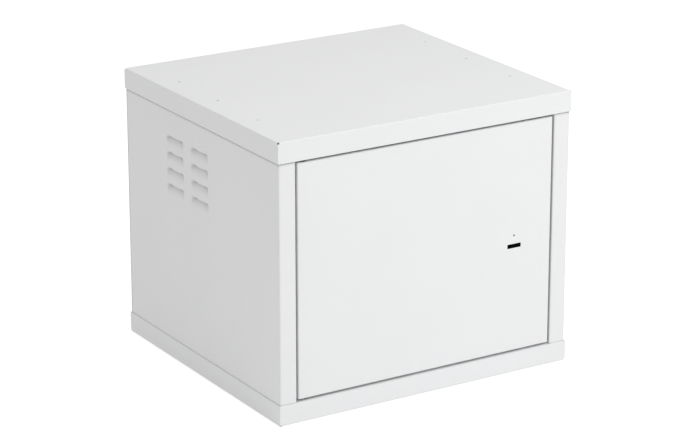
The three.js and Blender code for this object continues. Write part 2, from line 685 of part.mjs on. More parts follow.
function chargerCase(level) {
  const half = CHARGER_WIDTH / 2;
  const low = [RACK_X - half, CHARGER_Y0, level];
  const high = [RACK_X + half, CHARGER_Y1, level + CHARGER_HEIGHT];
  const wall = 2;
  const hollow = box(low.map((value) => value + wall), high.map((value) => value - wall));
  const windows = [];
  for (let index = 0; index < BAYS; index += 1) {
    const x = bayX(index);
    const z = level + PORT_Z;
    windows.push(box([x - 8, CHARGER_Y0 - 1, z - 5], [x + 8, CHARGER_Y0 + 3, z + 5]));
  }
  const leadZ = level + PORT_Z;
  const leadHole = rod(4, [high[0] - 4, MAINS_Y, leadZ], [high[0] + 4, MAINS_Y, leadZ], 20);
  return cut(box(low, high), hollow, ...windows, leadHole);
}

function chargerBoard(level) {
  const half = CHARGER_WIDTH / 2 - 6;
  const boardTop = level + PORT_Z - 4;
  const plateLow = [RACK_X - half, CHARGER_Y0 + 4, boardTop - 1.6];
  const parts = [box(plateLow, [RACK_X + half, CHARGER_Y1 - 6, boardTop])];
  const slots = [];
  for (let index = 0; index < BAYS; index += 1) {
    const x = bayX(index);
    const z = level + PORT_Z;
    parts.push(box([x - 7.4, CHARGER_Y0 + 0.4, boardTop - 0.1], [x + 7.4, CHARGER_Y0 + 16, z + 4]));
    slots.push(box([x - 6.6, CHARGER_Y0 - 1, z - 2.8], [x + 6.6, CHARGER_Y0 + 14, z + 2.8]));
  }
  const transformerLow = [RACK_X + 80, CHARGER_Y0 + 30, boardTop - 0.1];
  parts.push(box(transformerLow, [RACK_X + 122, CHARGER_Y0 + 62, boardTop + 14]));
  return cut(joined(...parts), ...slots);
}

function chargeCable(x, level) {
  const z = level + PORT_Z;
  const plugY = CHARGER_Y0 - 1.5;
  const tongue = box([x - 6, plugY - 2, z - 2.2], [x + 6, CHARGER_Y0 + 9, z + 2.2]);
  const grip = box([x - 7.6, plugY - 20, z - 3.8], [x + 7.6, plugY, z + 3.8]);
  const start = plugY - 19;
  const lead = tube(
    [
      [x, start, z],
      [x, start - 12, z + 1],
      [x + 9, 24, z + 1.5],
      [x + 19, 2, level + 9.5],
      [x + 20, -22, level + 8],
      [x + 20, -46, level + 8],
    ],
    1.7,
    14,
    6,
  );
  const phoneGrip = box([x + 15.5, -64, level + 5], [x + 24.5, -45, level + 11]);
  const phoneTongue = box([x + 15.9, -70.5, level + 6.8], [x + 24.1, -63.5, level + 9.2]);
  return joined(tongue, grip, lead, phoneGrip, phoneTongue);
}

function powerInlet() {
  const y = SKIN_Y;
  const flange = box([INLET_X - 16, y + CLEARANCE, INLET_Z - 33], [INLET_X + 16, y + 2.8, INLET_Z + 33]);
  const body = box([INLET_X - 13.5, y - 30, INLET_Z - 29.5], [INLET_X + 13.5, y + 1, INLET_Z + 29.5]);
  const mouthShape = [[-12, -8.2], [12, -8.2], [12, 4.4], [8.2, 8.2], [-8.2, 8.2], [-12, 4.4]];
  const socket = prism(mouthShape.map(([u, v]) => [INLET_X + u, INLET_Z + v]), 'y', y - 18, y + 5);
  const blades = [[-7, -2], [0, 3], [7, -2]].map(([u, v]) =>
    box([INLET_X + u - 1, y - 19, INLET_Z + v - 2.2], [INLET_X + u + 1, y - 3, INLET_Z + v + 2.2]),
  );
  const rockerPocket = box([INLET_X - 11, y - 12, ROCKER_Z - 9], [INLET_X + 11, y + 5, ROCKER_Z + 9]);
  const drawerLow = [INLET_X - 10.6, y - 24, DRAWER_Z - 4.6];
  const drawerPocket = box(drawerLow, [INLET_X + 10.6, y + 5, DRAWER_Z + 4.6]);
  const tabs = [-7, 0, 7].map((u) =>
    box([INLET_X + u - 2.4, y - 38, INLET_Z - 0.4], [INLET_X + u + 2.4, y - 29, INLET_Z + 0.4]),
  );
  return joined(cut(flange.add(body), socket, rockerPocket, drawerPocket), ...blades, ...tabs);
}

// A switch cap resting in its off position, tilted about its pivot.
function rockerSwitch() {
  const tilt = (ROCKER_TILT * Math.PI) / 180;
  const profile = [[-5, -5], [5, -5], [7.4, 0], [7.6, 6.4], [0, 5], [-7.6, 6.4], [-7.4, 0]];
  const outline = profile.map(([v, u]) => [
    ROCKER_Y + u * Math.cos(tilt) - v * Math.sin(tilt),
    ROCKER_Z + u * Math.sin(tilt) + v * Math.cos(tilt),
  ]);
  return prism(outline, 'x', INLET_X - 10, INLET_X + 10);
}

function fuseDrawer() {
  const y = SKIN_Y;
  const carrier = box([INLET_X - 10, y - 22, DRAWER_Z - 4], [INLET_X + 10, y + 3.4, DRAWER_Z + 4]);
  const fuseBed = box([INLET_X - 8, y - 20, DRAWER_Z - 2], [INLET_X + 8, y - 1, DRAWER_Z + 5]);
  const front = box([INLET_X - 11, y + 3.1, DRAWER_Z - 5], [INLET_X + 11, y + 4.6, DRAWER_Z + 5]);
  const nailNotch = box([INLET_X - 4, y + 4, DRAWER_Z + 3.4], [INLET_X + 4, y + 6, DRAWER_Z + 6]);
  return cut(joined(carrier, front), fuseBed, nailNotch);
}

function mainsLead(level, route) {
  const caseEnd = RACK_X + CHARGER_WIDTH / 2;
  const z = level + PORT_Z;
  const entry = [[caseEnd + 26, MAINS_Y + 4, z + 4], [caseEnd + 8, MAINS_Y, z], [caseEnd - 3, MAINS_Y, z]];
  return tube([...route, ...entry], 2.9, 18, 8);
}

function controllerCase() {
  const wall = 2;
  const hollowLow = CONTROLLER_LOW.map((value) => value + wall);
  const hollow = box(hollowLow, CONTROLLER_HIGH.map((value) => value - wall));
  const [x0, y0] = CONTROLLER_LOW;
  const [x1, y1, top] = CONTROLLER_HIGH;
  const vents = [];
  for (let index = 0; index < 6; index += 1) {
    const y = y0 + 18 + index * 12;
    vents.push(box([x0 + 6, y, top - 6], [x1 - 6, y + 4, top + 4]));
  }
  const leadHole = rod(3.4, [LOCK_LEAD_X, y1 - 6, LOCK_LEAD_Z], [LOCK_LEAD_X, y1 + 4, LOCK_LEAD_Z], 16);
  return cut(box(CONTROLLER_LOW, CONTROLLER_HIGH), hollow, ...vents, leadHole);
}

function controllerBoard() {
  const [x, y, z] = CONTROLLER_LOW;
  const face = z + 6;
  const plate = box([x + 3, y + 4, face - 1.5], [x + 39, y + 92, face + 0.1]);
  const relay = box([x + 8, y + 14, face], [x + 26, y + 32, face + 15]);
  const chip = box([x + 14, y + 46, face], [x + 28, y + 60, face + 2.5]);
  const terminal = box([x + 6, y + 68, face], [x + 36, y + 78, face + 10]);
  return joined(plate, relay, chip, terminal);
}

function lockLead() {
  return tube(
    [
      [LOCK_LEAD_X, CONTROLLER_HIGH[1] - 4, LOCK_LEAD_Z],
      [LOCK_LEAD_X, 172, 18],
      [-170, 186, 12],
      [-60, 190, 9],
      [60, 190, 9],
      [170, 180, 10],
      [206, 130, 30],
      [212, 40, 90],
      [206, -30, 150],
      [192, -70, 180],
      [COIL_X, -84, PLUNGER_Z],
      [COIL_X, LOCK_Y1 - 1.6, PLUNGER_Z],
    ],
    2,
    36,
    6,
  );
}

add('shelf', shelf(), powderCoat);
add('shelf_bracket_left', shelfBracket(-1), galvanised);
add('shelf_bracket_right', shelfBracket(1), galvanised);
Object.entries(LEVELS).forEach(([name, level], row) => {
  add(`phone_rack_${name}`, phoneRack(level), greyPlastic);
  add(`charger_case_${name}`, chargerCase(level), blackPlastic);
  add(`charger_board_${name}`, chargerBoard(level), board);
  for (let index = 0; index < BAYS; index += 1) {
    add(`charge_cable_${row * BAYS + index + 1}`, chargeCable(bayX(index), level), cableSheath);
  }
});
add('power_inlet', powerInlet(), blackPlastic);
add('rocker_switch', rockerSwitch(), blackPlastic);
add('fuse_drawer', fuseDrawer(), blackPlastic);
const lowerRoute = [[INLET_X - 7, SKIN_Y - 42, INLET_Z], [INLET_X - 4, 140, 40]];
const upperRoute = [[INLET_X + 7, SKIN_Y - 42, INLET_Z], [188, 176, 90], [196, 184, 170], [190, 184, 220]];
add('mains_lead_lower', mainsLead(LEVELS.lower, lowerRoute), cableSheath);
add('mains_lead_upper', mainsLead(LEVELS.upper, upperRoute), cableSheath);
add('controller_case', controllerCase(), greyPlastic);
add('controller_board', controllerBoard(), board);
add('lock_lead', lockLead(), cableSheath);

export default kiosk;
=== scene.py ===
"""The looks of the phone charging kiosk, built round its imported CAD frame. Lengths are in metres."""

import json
import math

import bmesh
import bpy
from mathutils import Matrix, Vector


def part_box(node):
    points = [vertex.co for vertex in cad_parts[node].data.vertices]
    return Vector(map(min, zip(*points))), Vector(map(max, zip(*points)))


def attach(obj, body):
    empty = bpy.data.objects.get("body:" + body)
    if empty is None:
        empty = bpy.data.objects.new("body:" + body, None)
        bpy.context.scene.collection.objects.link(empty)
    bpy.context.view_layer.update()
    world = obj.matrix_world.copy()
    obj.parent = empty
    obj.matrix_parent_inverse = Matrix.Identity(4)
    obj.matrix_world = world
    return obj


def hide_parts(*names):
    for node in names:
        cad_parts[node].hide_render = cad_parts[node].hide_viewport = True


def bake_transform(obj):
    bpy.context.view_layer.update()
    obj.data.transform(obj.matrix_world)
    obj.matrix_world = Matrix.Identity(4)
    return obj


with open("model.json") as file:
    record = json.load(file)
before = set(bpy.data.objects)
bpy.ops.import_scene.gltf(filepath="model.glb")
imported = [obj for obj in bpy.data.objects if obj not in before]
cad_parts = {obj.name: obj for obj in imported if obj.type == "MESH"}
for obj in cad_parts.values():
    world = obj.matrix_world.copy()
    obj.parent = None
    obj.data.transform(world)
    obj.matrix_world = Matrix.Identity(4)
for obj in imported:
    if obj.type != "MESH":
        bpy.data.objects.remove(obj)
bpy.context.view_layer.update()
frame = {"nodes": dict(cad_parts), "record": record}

MM = 0.001
SHEET = 1.0 * MM
BEND_OUTSIDE = 1.9 * MM  # outside radius of a fold
BEND_STEPS = 6
EDGE_ROUND = 0.22 * MM  # coated edge of the sheet

CAMERA_AZIMUTH = -31.85
CAMERA_ELEVATION = 18.67
CAMERA_DISTANCE = 3.955
CAMERA_TARGET = Vector((0.0035, -0.0076, 0.182))
CAMERA_LENS = 146.3

LOCK_X = 183 * MM  # middle of the lock, the strike and the solenoid
LOCK_PIVOT = Vector((-143, 180)) * MM  # in Y and Z
PLUNGER_Z = 183.5 * MM
MOUTH_HALF = 203.5 * MM  # from the middle to the edge of a stile

DOOR_LOW, DOOR_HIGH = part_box("door_panel")
CASE_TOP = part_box("top_cover")[1].z
REAR_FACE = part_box("rear_panel")[1].y
SIDE_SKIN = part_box("right_side_panel")[1].x
SIDE_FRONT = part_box("right_side_panel")[0].y
CONTROLLER_LOW, CONTROLLER_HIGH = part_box("controller_case")


# ---- mesh helpers

def new_object(name, verts, faces):
    mesh = bpy.data.meshes.new(name)
    mesh.from_pydata([tuple(v) for v in verts], [], faces)
    mesh.validate()
    bm = bmesh.new()
    bm.from_mesh(mesh)
    bmesh.ops.remove_doubles(bm, verts=bm.verts, dist=1e-7)
    bmesh.ops.recalc_face_normals(bm, faces=bm.faces)
    bm.to_mesh(mesh)
    bm.free()
    obj = bpy.data.objects.new(name, mesh)
    bpy.context.scene.collection.objects.link(obj)
    return obj


def middle_of(node_name):
    """The middle of a CAD node's box."""
    low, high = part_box(node_name)
    return (low + high) / 2


def evaluated(obj):
    """Gives the object the mesh that its modifiers make, and drops them."""
    bpy.context.view_layer.update()
    graph = bpy.context.evaluated_depsgraph_get()
    mesh = bpy.data.meshes.new_from_object(obj.evaluated_get(graph))
    obj.modifiers.clear()
    obj.data = mesh
    return obj


def block(low, high):
    x, y, z = zip(low, high)
    verts = [(a, b, c) for a in x for b in y for c in z]
    faces = [(0, 1, 3, 2), (4, 6, 7, 5), (0, 4, 5, 1), (2, 3, 7, 6), (0, 2, 6, 4), (1, 5, 7, 3)]
    return new_object("block", verts, faces)


def add_bevel(obj, width, segments, angle=None):
    """Rounds the edges that are sharper than an angle, or all of them."""
    bevel = obj.modifiers.new("round", "BEVEL")
    bevel.width = width
    bevel.segments = segments
    bevel.limit_method = "NONE"
    if angle:
        bevel.limit_method = "ANGLE"
        bevel.angle_limit = math.radians(angle)


def soft_block(low, high, radius, segments=4):
    """A block with all its edges rounded."""
    obj = block(low, high)
    add_bevel(obj, radius, segments)
    return evaluated(obj)


def skin_rings(rings, closed_ends=True):
    """Faces between rings of as many points each, and over the two end rings."""
    sides = len(rings[0])
    verts = [point for ring in rings for point in ring]
    faces = []
    for ring in range(len(rings) - 1):
        for side in range(sides):
            after = (side + 1) % sides
            low, high = ring * sides, (ring + 1) * sides
            faces.append((low + side, low + after, high + after, high + side))
    if closed_ends:
        last = len(verts) - sides
        faces += [tuple(range(sides))[::-1], tuple(range(last, last + sides))]
    return verts, faces


def circle(sides):
    """The cosines and sines of angles spread evenly round a circle."""
    angles = [2 * math.pi * side / sides for side in range(sides)]
    return [(math.cos(a), math.sin(a)) for a in angles]


def turned(profile, centre=(0, 0, 0), axis=(0, 0, 1), sides=40, closed_ends=True):
    """A closed shape turned on an axis, from a profile of (radius, distance along the axis)."""
    turn = Vector(axis).to_track_quat("Z", "Y").to_matrix()
    rings = []
    for radius, along in profile:
        ring = [Vector((radius * u, radius * v, along)) for u, v in circle(sides)]
        rings.append([Vector(centre) + turn @ point for point in ring])
    return new_object("turned", *skin_rings(rings, closed_ends))


def rod(radius, start, end, sides=32):
    along = Vector(end) - Vector(start)
    return turned([(radius, 0), (radius, along.length)], start, along, sides)


def in_mm(pairs):
    """Pairs of numbers in millimetres, as lengths."""
    return [(a * MM, b * MM) for a, b in pairs]


PLANES = {
    "x": lambda u, v, w: (w, u, v),
    "y": lambda u, v, w: (u, w, v),
    "z": lambda u, v, w: (u, v, w),
}


def prism(outline, axis, start, end):
    """An outline drawn across an axis and drawn out along it."""
    place = PLANES[axis]
    rings = [[Vector(place(u, v, w)) for u, v in outline] for w in (start, end)]
    return new_object("prism", *skin_rings(rings))


def rounded_outline(u0, u1, v0, v1, radius, steps=5):
    """The outline of a rectangle with round corners."""
    outline = []
    corners = ((u1, v1, -1, -1), (u0, v1, 1, -1), (u0, v0, 1, 1), (u1, v0, -1, 1))
    for quarter, (u, v, su, sv) in enumerate(corners):
        centre = (u + su * radius, v + sv * radius)
        outline += arc(centre, radius, 90 * quarter, 90 * quarter + 90, steps)
    return outline


def centred_outline(u, v, half_u, half_v, radius, steps=5):
    """The outline of a rectangle with round corners about a point, with its sizes in millimetres."""
    half_u, half_v = half_u * MM, half_v * MM
    return rounded_outline(u - half_u, u + half_u, v - half_v, v + half_v, radius * MM, steps)


def spline(points, steps):
    """Points of a smooth curve through the given ones."""
    points = [Vector(p) for p in points]
    line = [points[0] * 2 - points[1], *points, points[-1] * 2 - points[-2]]
    curve = []
    for before, start, end, after in zip(line, line[1:], line[2:], line[3:]):
        for step in range(steps):
            t = step / steps
            speed = end - before
            bend = before * 2 - start * 5 + end * 4 - after
            twist = after - before + (start - end) * 3
            curve.append(start + (speed * t + bend * t**2 + twist * t**3) * 0.5)
    return curve + [points[-1]]


def swept(curve, radii, sides=14):
    """A round section carried along a curve without twisting; its radius may change on the way."""
    if isinstance(radii, float):
        radii = [radii] * len(curve)
    side = None
    rings = []
    for index, (point, radius) in enumerate(zip(curve, radii)):
        along = curve[min(index + 1, len(curve) - 1)] - curve[max(index - 1, 0)]
        along.normalize()
        side = along.orthogonal() if side is None else side - along * side.dot(along)
        side.normalize()
        across = along.cross(side)
        rings.append([point + (side * u + across * v) * radius for u, v in circle(sides)])
    return new_object("swept", *skin_rings(rings))


def strain_relief(start, end, wide, narrow, ribs=4):
    """A tapering moulded sleeve with grooves round it."""
    start, end = Vector(start), Vector(end)
    curve, radii = [], []
    steps = ribs * 6
    for step in range(steps + 1):
        share = step / steps
        grooved = step % 6 in (4, 5)
        curve.append(start.lerp(end, share))
        radii.append((wide + (narrow - wide) * share) * (0.72 if grooved else 1.0))
    return swept(curve, radii, 20)


def joined(shapes, name):
    """Several shapes in one mesh."""
    first, *rest = shapes
    first.name = name
    if rest:
        bm = bmesh.new()
        bm.from_mesh(first.data)
        for other in rest:
            bm.from_mesh(other.data)
            bpy.data.objects.remove(other)
        bm.to_mesh(first.data)
        bm.free()
    return first


def boolean(obj, others, operation):
    """Cuts others, which don't overlap, from an object or adds them to it, and removes them."""
    tool = joined(others, "tool")
    change = obj.modifiers.new("boolean", "BOOLEAN")
    change.object = tool
    change.operation = operation
    change.solver = "EXACT"
    evaluated(obj)
    bpy.data.objects.remove(tool)


def carve(obj, cutters):
    boolean(obj, cutters, "DIFFERENCE")


def fuse(obj, others):
    for other in others:
        boolean(obj, [other], "UNION")


def shade_smooth(obj, sharp_angle=None):
    """Shades a mesh smooth, but for the edges that are sharper than an angle."""
    for face in obj.data.polygons:
        face.use_smooth = True
    if sharp_angle:
        obj.data.set_sharp_from_angle(angle=math.radians(sharp_angle))


def soften(obj, width=EDGE_ROUND, angle=50, segments=2):
    """Rounds sharp edges a little and shades the rest smooth, with flat faces kept flat."""
    add_bevel(obj, width, segments, angle)
    shade_smooth(obj, angle - 5)
    normals = obj.modifiers.new("normals", "WEIGHTED_NORMAL")
    normals.keep_sharp = True
    normals.weight = 80
    return obj


def clean_cad(obj):
    """Joins a CAD node's coplanar facets and rounds its edges, with modifiers only."""
    weld = obj.modifiers.new("weld", "WELD")
    weld.merge_threshold = 1e-6
    flat = obj.modifiers.new("flat", "DECIMATE")
    flat.decimate_type = "DISSOLVE"
    flat.angle_limit = math.radians(0.3)
    add_bevel(obj, 0.3 * MM, 2, 28)
    normals = obj.modifiers.new("normals", "WEIGHTED_NORMAL")
    normals.weight = 80
    shade_smooth(obj)


def thicken(obj):
    """Gives a surface the thickness of the sheet, on its inner side."""
    solid = obj.modifiers.new("sheet", "SOLIDIFY")
    solid.thickness = SHEET
    solid.offset = -1
    solid.use_even_offset = True
    solid.use_rim = True
    evaluated(obj)


def arc(centre, radius, start, end, steps=BEND_STEPS):
    """Points of a circle's arc in a plane, with angles in degrees."""
    points = []
    for step in range(steps + 1):
        angle = math.radians(start + (end - start) * step / steps)
        points.append((centre[0] + radius * math.cos(angle), centre[1] + radius * math.sin(angle)))
    return points


def smoothstep(value):
    value = min(1.0, max(0.0, value))
    return value * value * (3 - 2 * value)


# ---- materials

def material(name):
    made = bpy.data.materials.new(name)
    made.use_nodes = True
    tree = made.node_tree
    place = tree.nodes.new("ShaderNodeTexCoord")
    return made, tree, tree.nodes["Principled BSDF"], place.outputs["Object"]


def feed(tree, target, inputs):
    """Sets a node's inputs to values, or links them to the outputs of other nodes."""
    for key, value in inputs.items():
        if isinstance(value, bpy.types.NodeSocket):
            tree.links.new(value, target.inputs[key])
        else:
            target.inputs[key].default_value = value


def node(tree, kind, output, inputs, **settings):
    """One output of a new node with its settings and inputs."""
    made = tree.nodes.new("ShaderNode" + kind)
    for key, value in settings.items():
        setattr(made, key, value)
    feed(tree, made, inputs)
    return made.outputs[output]


def noise(tree, place, scale, detail, stretch=(1, 1, 1)):
    stretched = node(tree, "Mapping", "Vector", {"Vector": place, "Scale": stretch})
    return node(tree, "TexNoise", "Fac", {"Vector": stretched, "Scale": scale, "Detail": detail})


def mapped(tree, value, start, end, low, high):
    """A value that runs from low to high as another runs from start to end."""
    ends = {"From Min": start, "From Max": end, "To Min": low, "To Max": high}
    return node(tree, "MapRange", "Result", {"Value": value, **ends})


def between(tree, factor, low, high):
    """A value that runs from low to high as the factor runs over its middle half."""
    return mapped(tree, factor, 0.3, 0.7, low, high)


def tint(tree, factor, color, dark, light):
    """A colour that varies between two multiples of itself."""
    ends = {"A": (*scaled(color, dark), 1), "B": (*scaled(color, light), 1)}
    return node(tree, "Mix", "Result", {"Factor": factor, **ends}, data_type="RGBA")


def bump(tree, shader, layers):
    """Roughens a surface by stacked layers, each a height, a strength and a distance in millimetres."""
    normal = {}
    for height, strength, distance in layers:
        layer = {"Height": height, "Strength": strength, "Distance": distance * MM}
        normal = {"Normal": node(tree, "Bump", "Normal", {**layer, **normal})}
    feed(tree, shader, normal)


def shade(color):
    """A colour of the record's material slot."""
    return next(m["base_color"][:3] for m in frame["record"]["materials"] if m["slot"] == color)


def scaled(color, amount):
    return tuple(min(1.0, channel * amount) for channel in color)


# Painted shade: the white coat is darkened where little open sky is seen, as shadow would fall there.
SEAM_SHADOW_REACH, SEAM_SHADOW_DARKEST = 5 * MM, 0.2  # a painted shadow line under a ledge on a panel's skin
PRESSED_REACH, PRESSED_DARKEST = 13 * MM, 0.66  # a broad soft painted shade on metal pressed in from it
SKY_CLOSED, SKY_OPEN = 0.42, 0.82  # shares of open sky that give the darkest painted shade and none
JAMB_SHARE = 0.5  # how much of the painted shade the stiles' jambs take
DOOR_SHARE = 0.5  # how much of it the door's upward faces take
DOOR_PRESSED = 0.5  # where the door's painted shade is between the thin line and the broad one


def paint_overhang_shade(tree, color, pressed, share):
    """Paints shade into a colour under overhanging edges, where light from above is kept off:
    a painted shadow line where pressed is 0, and a broad soft painted shade where it is 1."""
    tilted = node(tree, "VectorMath", "Vector", {0: world_normal(tree), 1: (0, 0, 1)})
    unit = node(tree, "VectorMath", "Vector", {0: tilted}, operation="NORMALIZE")
    reach = mapped(tree, pressed, 0, 1, SEAM_SHADOW_REACH, PRESSED_REACH)
    sky = node(tree, "AmbientOcclusion", "AO", {"Distance": reach, "Normal": unit}, samples=8)
    darkest = mapped(tree, pressed, 0, 1, SEAM_SHADOW_DARKEST, PRESSED_DARKEST)
    light = mapped(tree, sky, SKY_CLOSED, SKY_OPEN, darkest, 1)
    mix = {"Factor": share, "A": color, "B": light}
    return node(tree, "Mix", "Result", mix, data_type="RGBA", blend_type="MULTIPLY")


def world_normal(tree):
    return node(tree, "NewGeometry", "Normal", {})


def along_axis(tree, vector, axis):
    """One coordinate of a vector."""
    return node(tree, "SeparateXYZ", axis, {"Vector": vector})


def side_painted_shade(tree, place, white):
    """The side panels' painted shade, with their louvres pressed in from their skins, behind the stiles."""
    out = node(tree, "Math", "Value", {0: along_axis(tree, place, "X")}, operation="ABSOLUTE")
    inside = mapped(tree, out, SIDE_SKIN - 0.1 * MM, SIDE_SKIN - 1 * MM, 0, 1)
    behind = mapped(tree, along_axis(tree, place, "Y"), SIDE_FRONT + 2 * MM, SIDE_FRONT + 4 * MM, 0, 1)
    pressed = node(tree, "Math", "Value", {0: inside, 1: behind}, operation="MULTIPLY")
    share = mapped(tree, out, MOUTH_HALF + 1 * MM, MOUTH_HALF + 3 * MM, JAMB_SHARE, 1)
    return paint_overhang_shade(tree, white, pressed, share)


def door_painted_shade(tree, _place, white):
    """The door's painted shade: only on faces that look up."""
    share = mapped(tree, along_axis(tree, world_normal(tree), "Z"), 0.1, 0.6, 0, DOOR_SHARE)
    return paint_overhang_shade(tree, white, DOOR_PRESSED, share)


def powder_coat(name, paint_shade=None):
    """White powder coat, with painted shade of its own where a part needs one."""
    made, tree, shader, place = material(name)
    color = shade("powder_coat")
    white = tint(tree, noise(tree, place, 9, 3), color, 0.99, 1.015)
    if paint_shade:
        white = paint_shade(tree, place, white)
    rough = between(tree, noise(tree, place, 60, 3), 0.5, 0.6)
    feed(tree, shader, {"Base Color": white, "Roughness": rough, "Specular IOR Level": 0.28})
    fine, finer = noise(tree, place, 520, 2), noise(tree, place, 1900, 2)
    bump(tree, shader, [(fine, 0.10, 0.05), (finer, 0.10, 0.02)])
    return made


def zinc_sheet():
    made, tree, shader, place = material("zinc_plated_sheet")
    color = shade("galvanised_steel")
    spangle = node(tree, "TexVoronoi", "Color", {"Vector": place, "Scale": 210})
    crystals = tint(tree, spangle, color, 0.93, 1.06)
    rough = between(tree, noise(tree, place, 240, 3), 0.34, 0.5)
    feed(tree, shader, {"Base Color": crystals, "Metallic": 1, "Roughness": rough})
    bump(tree, shader, [(noise(tree, place, 900, 3), 0.12, 0.03)])
    return made


def bright_steel():
    made, tree, shader, place = material("bright_zinc_steel")
    color = shade("bright_steel")
    lines = noise(tree, place, 700, 3, (1, 1, 0.06))
    brushed = tint(tree, lines, color, 0.95, 1.05)
    rough = between(tree, lines, 0.24, 0.34)
    feed(tree, shader, {"Base Color": brushed, "Metallic": 1, "Roughness": rough})
    bump(tree, shader, [(lines, 0.06, 0.02)])
    return made


def moulded(slot, rough, grain=0.12, shine=0.5):
    """Moulded plastic or rubber with a fine spark-eroded texture."""
    made, tree, shader, place = material(slot + "_moulded")
    color = shade(slot)
    cloud = tint(tree, noise(tree, place, 35, 3), color, 0.85, 1.15)
    uneven = between(tree, noise(tree, place, 300, 2), rough - 0.05, rough + 0.05)
    feed(tree, shader, {"Base Color": cloud, "Roughness": uneven, "Specular IOR Level": shine})
    bump(tree, shader, [(noise(tree, place, 2600, 2), grain, 0.04)])
    return made


def circuit_board():
    made, tree, shader, place = material("solder_masked_board")
    color = shade("circuit_board")
    tracks = tree.nodes.new("ShaderNodeTexBrick")
    look = {"Vector": place, "Scale": 150, "Mortar Size": 0.08, "Color1": (*color, 1)}
    feed(tree, tracks, {**look, "Color2": (*scaled(color, 0.8), 1), "Mortar": (*scaled(color, 1.7), 1)})
    feed(tree, shader, {"Base Color": tracks.outputs["Color"], "Roughness": 0.35})
    bump(tree, shader, [(tracks.outputs["Fac"], 0.1, 0.03)])
    return made


def light_pipe():
    made, tree, shader, place = material("light_pipe")
    color = shade("light_lens")
    cloud = tint(tree, noise(tree, place, 900, 2), color, 0.42, 0.55)
    feed(tree, shader, {"Base Color": cloud, "Roughness": 0.25})
    return made


FINISHES = {
    "powder_coat": powder_coat("powder_coat_white"),
    "galvanised_steel": zinc_sheet(),
    "bright_steel": bright_steel(),
    "black_plastic": moulded("black_plastic", 0.48),
    "button_black": moulded("button_black", 0.5, 0.04, 0.0),
    "grey_plastic": moulded("grey_plastic", 0.5),
    "bumper_rubber": moulded("bumper_rubber", 0.8, 0.2),
    "circuit_board": circuit_board(),
    "cable_sheath": moulded("cable_sheath", 0.5, 0.06),
    "light_lens": light_pipe(),
}
# Copies of the white coat with painted shade in their colour, for the side panels and the door.
SIDE_COAT_PAINTED_SHADE = powder_coat("powder_coat_white_louvred_painted_shade", side_painted_shade)
DOOR_COAT_PAINTED_SHADE = powder_coat("powder_coat_white_door_painted_shade", door_painted_shade)
SLOT_OF = {row["node"]: row["material_slot"] for row in frame["record"]["subparts"]}


def paint(obj, made):
    obj.data.materials.clear()
    obj.data.materials.append(made)
    return obj


def stand_in(obj, node_name, body="cabinet"):
    """A new piece that takes the place and the finish of a CAD node."""
    slot = SLOT_OF[node_name]
    paint(obj, FINISHES[slot])
    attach(obj, body)
    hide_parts(node_name)
    return obj


# ---- folded trays: cover and base

JOIN_X = 200 * MM
JOIN_HOLES = [(sx * JOIN_X, y * MM) for sx in (-1, 1) for y in (-107, 0, 107)]
JOIN_HOLE_RADIUS = 2.1 * MM
RELIEF_RADIUS = 1.5 * MM
SLIT = 0.12 * MM  # between the flanges at a corner


def tray(name, low, high, opens_down):
    """A folded tray: rounded along its folds, butted at its corners, with relief holes and screw holes."""
    half_x, half_y = high.x, high.y
    depth = high.z - low.z
    outside, inside = BEND_OUTSIDE, BEND_OUTSIDE - SHEET
    fold = depth - outside
    path = [(outside - a, fold + b) for a, b in arc((0, 0), inside, 90, 0)]
    path += [(SHEET, 0.0), (0.0, 0.0), (0.0, fold)]
    path += [(outside - a, fold + b) for a, b in arc((0, 0), outside, 0, 90)][1:]
    rings = []
    for inset, height in path:
        z = low.z + height if opens_down else high.z - height
        x, y = half_x - inset, half_y - inset
        rings.append([(-x, -y, z), (x, -y, z), (x, y, z), (-x, y, z)])
    obj = new_object(name, *skin_rings(rings))
    skin = high.z if opens_down else low.z
    inward_z = -1 if opens_down else 1
    cutters, slits = [], []
    for x, y in JOIN_HOLES:
        cutters.append(rod(JOIN_HOLE_RADIUS, (x, y, skin - 5 * MM), (x, y, skin + 5 * MM), 40))
    for sx, sy in ((-1, -1), (-1, 1), (1, -1), (1, 1)):
        corner = Vector((sx * half_x, sy * half_y, skin))
        inward = Vector((-sx, -sy, inward_z))
        cutters.append(rod(RELIEF_RADIUS, corner - inward * MM, corner + inward * 3 * MM, 24))
        slit_x = sorted((sx * (half_x - SHEET - 0.15 * MM), sx * (half_x + MM)))
        slit_y = sorted((sy * (half_y - SHEET), sy * (half_y - SHEET - SLIT)))
        slit_z = sorted((skin + inward_z * 2 * MM, skin + inward_z * (depth + MM)))
        slits.append(block(*zip(slit_x, slit_y, slit_z)))
    carve(obj, cutters)
    carve(obj, slits)
    return soften(obj)


def build_trays():
    stand_in(tray("cover_folded_sheet", *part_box("top_cover"), True), "top_cover")
    stand_in(tray("base_folded_sheet", *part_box("base_tray"), False), "base_tray")


# ---- side panels with pressed louvres

LOUVRE_LENGTH = 48.5 * MM
LOUVRE_HEIGHT = 12.5 * MM
LOUVRE_DEPTH = 3.6 * MM
LOUVRE_CORNER = 8 * MM
LOUVRE_MARGIN = 1 * MM  # flat sheet kept beside and below it
LOUVRE_END = 4.5 * MM
LOUVRE_SHOULDER = 4.5 * MM  # height of the sheet that rolls in above the cut
LOUVRE_OPENING = 1.5 * MM  # how far its edge stays out from the pressed metal
LOUVRE_PITCH = 23 * MM
LOUVRE_ROWS = 4
LOUVRE_TOP = CASE_TOP - 68.2 * MM
LOUVRE_CENTRES = (1.3 * MM, 69.3 * MM)
LOUVRE_COLUMNS = 48
PRESSED_POWER, SHOULDER_POWER = 1.35, 1.8  # how sharply each curves away from the skin
PRESSED_ROWS = 14
SHOULDER_ROWS = 8
LOUVRE_FALL = {None: 0, "pressed": LOUVRE_HEIGHT, "shoulder": -LOUVRE_SHOULDER}  # from the cut, downwards


